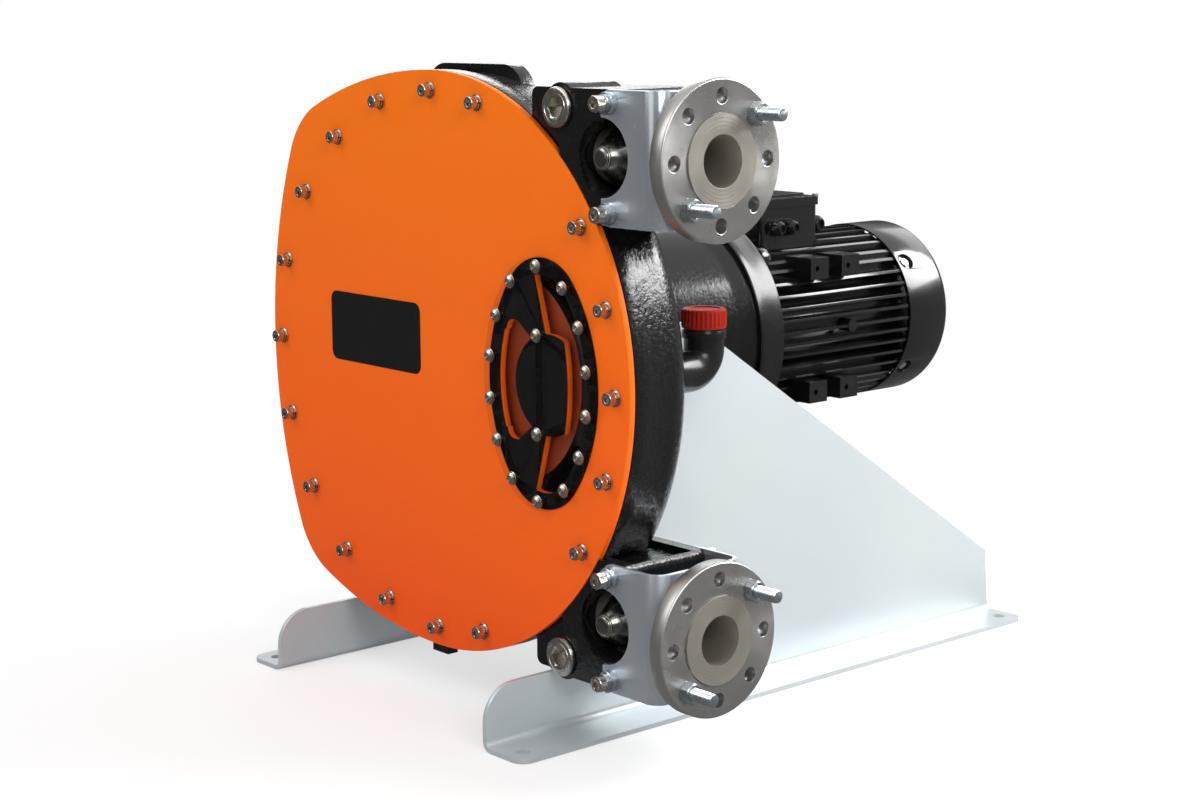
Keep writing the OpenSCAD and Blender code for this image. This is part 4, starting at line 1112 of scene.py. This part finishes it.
@dataclass
class Filler(SubAssembly):
    """The oil filler's elbow and cap."""

    ribs: int = 30
    rib_depth: float = 0.0011

    def dress(self) -> None:
        """Finishes the CAD nodes."""
        dress(PLASTIC, "filler_elbow", bevel=0.0008)

    def build(self) -> None:
        """Makes the ribbed cap, with a dished top."""
        low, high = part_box("filler_cap")
        centre = ((low[0] + high[0]) / 2, (low[1] + high[1]) / 2, low[2])
        reach, tall = (high[0] - low[0]) / 2 - 0.0001, high[2] - low[2]
        kit = MeshKit("ribbed_filler_cap")
        side = {"ribs": self.rib_depth, "rib_count": self.ribs}
        dish = plain(
            (0.0, tall - 0.0022), (0.55 * reach, tall - 0.0022), (0.68 * reach, tall - 0.0019),
            (0.74 * reach, tall - 0.0003), (0.80 * reach, tall), (0.90 * reach, tall - 0.0004),
        )
        skirt = [
            Ring(0.965 * reach, tall - 0.0018, ribs=0.0003, rib_count=self.ribs),
            Ring(0.99 * reach, tall - 0.0036, **side), Ring(reach, tall - 0.0055, **side),
            Ring(reach, 0.0034, **side), Ring(0.995 * reach, 0.0026, **side),
        ]
        inside = plain(
            (0.985 * reach, 0.0022), (0.985 * reach, 0.0006), (0.965 * reach, 0.0), (0.0214, 0.0),
            (0.0210, 0.0004), (0.0210, 0.0068), (0.0, 0.0068),
        )
        kit.turned(dish + skirt + inside, stand_at(centre, Axis.UP), segments=180)
        kit.finish(RED, Slot.RED, "cap", "filler_cap")


@dataclass
class Rotor(SubAssembly):
    """The rotor behind the window."""

    def dress(self) -> None:
        """Finishes the CAD nodes."""
        dress(ROTOR_RED, "rotor_wheel", bevel=0.0015)
        dress(SHOE, "press_shoe_left", "press_shoe_right", bevel=0.001)
        dress(MACHINED, "drive_shaft", "rotor_key", bevel=0.0006)
        dress(PLATED, "shoe_screws", "lobe_screws", "rotor_cap_screw", bevel=0.0005)
        dress(MOTOR_BLACK, "rotor_cap", bevel=0.001)


@dataclass
class Studio:
    """Camera, pale floor and soft lights."""

    camera_at: Point = (2.2244, -2.0440, 0.8775)
    yaw: float = 48.701
    pitch: float = 10.012
    roll: float = -0.234
    lens: float = 66.31
    sensor: float = 36.0
    near_far: tuple[float, float] = (0.05, 60.0)
    floor_half: float = 14.0
    floor_z: float = -0.0005
    fade_shape: Point = (1.0, 0.8, 1.0)
    fade_from: float = 0.35
    fade_to: float = 0.95
    fade_least: float = 0.55
    grey_front: float = 0.10
    grey_back: float = 0.27
    grey_top: float = 0.9
    fill: float = 0.5
    aim: Point = (0.0, 0.0, 0.4)
    lamps: tuple[tuple[str, Point, tuple[float, float], float], ...] = (
        ("key", (-1.2, -2.6, 2.6), (1.8, 1.6), 30.0),
        ("front", (0.4, -3.4, 1.5), (1.6, 1.6), 6.0),
        ("side", (3.3, -1.3, 2.3), (1.6, 1.6), 62.0),
        ("sheen", (1.55, 2.1, 2.15), (1.9, 1.5), 140.0),
        ("top", (-0.3, 2.3, 1.8), (1.4, 1.0), 10.0),
        ("rim", (-2.6, 1.8, 2.0), (1.2, 1.8), 22.0),
    )

    def camera(self) -> None:
        """Sets the camera at the photograph's viewpoint."""
        data = bpy.data.cameras.new("camera")
        data.lens, data.sensor_width, data.sensor_fit = self.lens, self.sensor, "HORIZONTAL"
        data.clip_start, data.clip_end = self.near_far
        obj = new_object("camera", data)
        yaw, pitch, roll = (math.radians(v) for v in (self.yaw, self.pitch, self.roll))
        back = Vector((math.sin(yaw) * math.cos(pitch), -math.cos(yaw) * math.cos(pitch), math.sin(pitch)))
        right = Vector((math.cos(yaw), math.sin(yaw), 0.0))
        up = right.cross(-back)
        cos, sin = math.cos(roll), math.sin(roll)
        turned = Matrix((cos * right + sin * up, -sin * right + cos * up, back)).transposed()
        obj.matrix_world = Matrix.Translation(self.camera_at) @ turned.to_4x4()
        bpy.context.scene.camera = obj

    def floor(self) -> None:
        """A wide pale floor that fades to plain white away from the pump and its shadow."""
        bm = bmesh.new()
        for x, y in ((-1, -1), (1, -1), (1, 1), (-1, 1)):
            bm.verts.new((x * self.floor_half, y * self.floor_half, self.floor_z))
        bm.faces.new(list(bm.verts))
        mesh = bpy.data.meshes.new("floor")
        bm.to_mesh(mesh)
        bm.free()
        obj = new_object("floor", mesh)
        look = Recipe("floor_pale")
        patches = look.noise(1.5, 2.0)
        look.set(Base_Color=look.layer(patches, (0.93, 0.93, 0.93), (0.96, 0.96, 0.96)), Roughness=0.85)
        reach = look.length(look.scaled(self.fade_shape))
        away = look.remap(reach, self.fade_from, self.fade_to, self.fade_least, 1.0)
        path = look.node("LightPath").outputs
        seen = look.math("MULTIPLY", away, path["Is Camera Ray"])
        faded = look.mix(seen, look.shader.outputs[0], look.node("Emission").outputs[0])
        place, grey = look.split(look.coords), look.node("Emission")
        behind = look.math("ADD", place[0], place[1])
        look.put(grey, 1, look.remap(behind, -1.2, 2.0, self.grey_front, self.grey_back))
        look.link(look.mix(path["Is Glossy Ray"], faded, grey.outputs[0]), look.out.inputs[0])
        mesh.materials.append(look.material)

    def light(self, name: str, at: Point, size: tuple[float, float], power: float) -> None:
        """A rectangular soft box that faces the pump."""
        data = bpy.data.lights.new(name, "AREA")
        data.shape, data.size, data.size_y, data.energy = "RECTANGLE", size[0], size[1], power
        obj = new_object(name, data)
        obj.location = at
        obj.rotation_euler = (Vector(self.aim) - Vector(at)).to_track_quat("-Z", "Y").to_euler()

    def world(self) -> None:
        """A soft surround: plain for diffuse light, white to the camera, and graded for gloss."""
        world = bpy.data.worlds.new("studio")
        bpy.context.scene.world = world
        world.use_nodes = True
        sky = Wiring(world.node_tree, "Generated")
        toward, span = sky.split(sky.coords), self.grey_back - self.grey_front
        behind = sky.remap(sky.math("ADD", toward[0], toward[1]), -0.1, 1.1, 0.0, span, "SMOOTHSTEP")
        above = sky.remap(toward[2], 0.25, 0.8, 0.0, self.grey_top, "SMOOTHSTEP")
        graded = sky.math("ADD", sky.math("ADD", behind, above), self.grey_front)
        path = sky.node("LightPath").outputs
        seen = sky.math("MAXIMUM", path["Is Camera Ray"], path["Is Transmission Ray"])
        gloss = path["Is Glossy Ray"]
        dull = sky.math("MULTIPLY", sky.math("SUBTRACT", 1.0, gloss), self.fill)
        level = sky.math("ADD", sky.math("MULTIPLY", gloss, graded), dull)
        level = sky.math("ADD", seen, sky.math("MULTIPLY", sky.math("SUBTRACT", 1.0, seen), level))
        back = sky.node("Background")
        back.inputs[0].default_value = (1.0, 1.0, 1.0, 1.0)
        sky.link(level, back.inputs[1])
        sky.link(back.outputs[0], sky.node("OutputWorld").inputs[0])

    def build(self) -> None:
        """Makes the whole studio."""
        self.camera()
        self.floor()
        self.world()
        for name, at, size, power in self.lamps:
            self.light(name, at, size, power)
        bpy.context.scene.view_settings.view_transform = "Standard"
        LOG.info("studio ready")


SUB_ASSEMBLIES: tuple[type[SubAssembly], ...] = (Stand, Casing, Cover, Ports, Drive, Filler, Rotor)


def main() -> None:
    """Builds the studio and every sub-assembly."""
    Studio().build()
    for kind in SUB_ASSEMBLIES:
        part = kind()
        part.dress()
        part.build()
        LOG.info("%s done", kind.__name__)


if __name__ == "__main__":
    main()
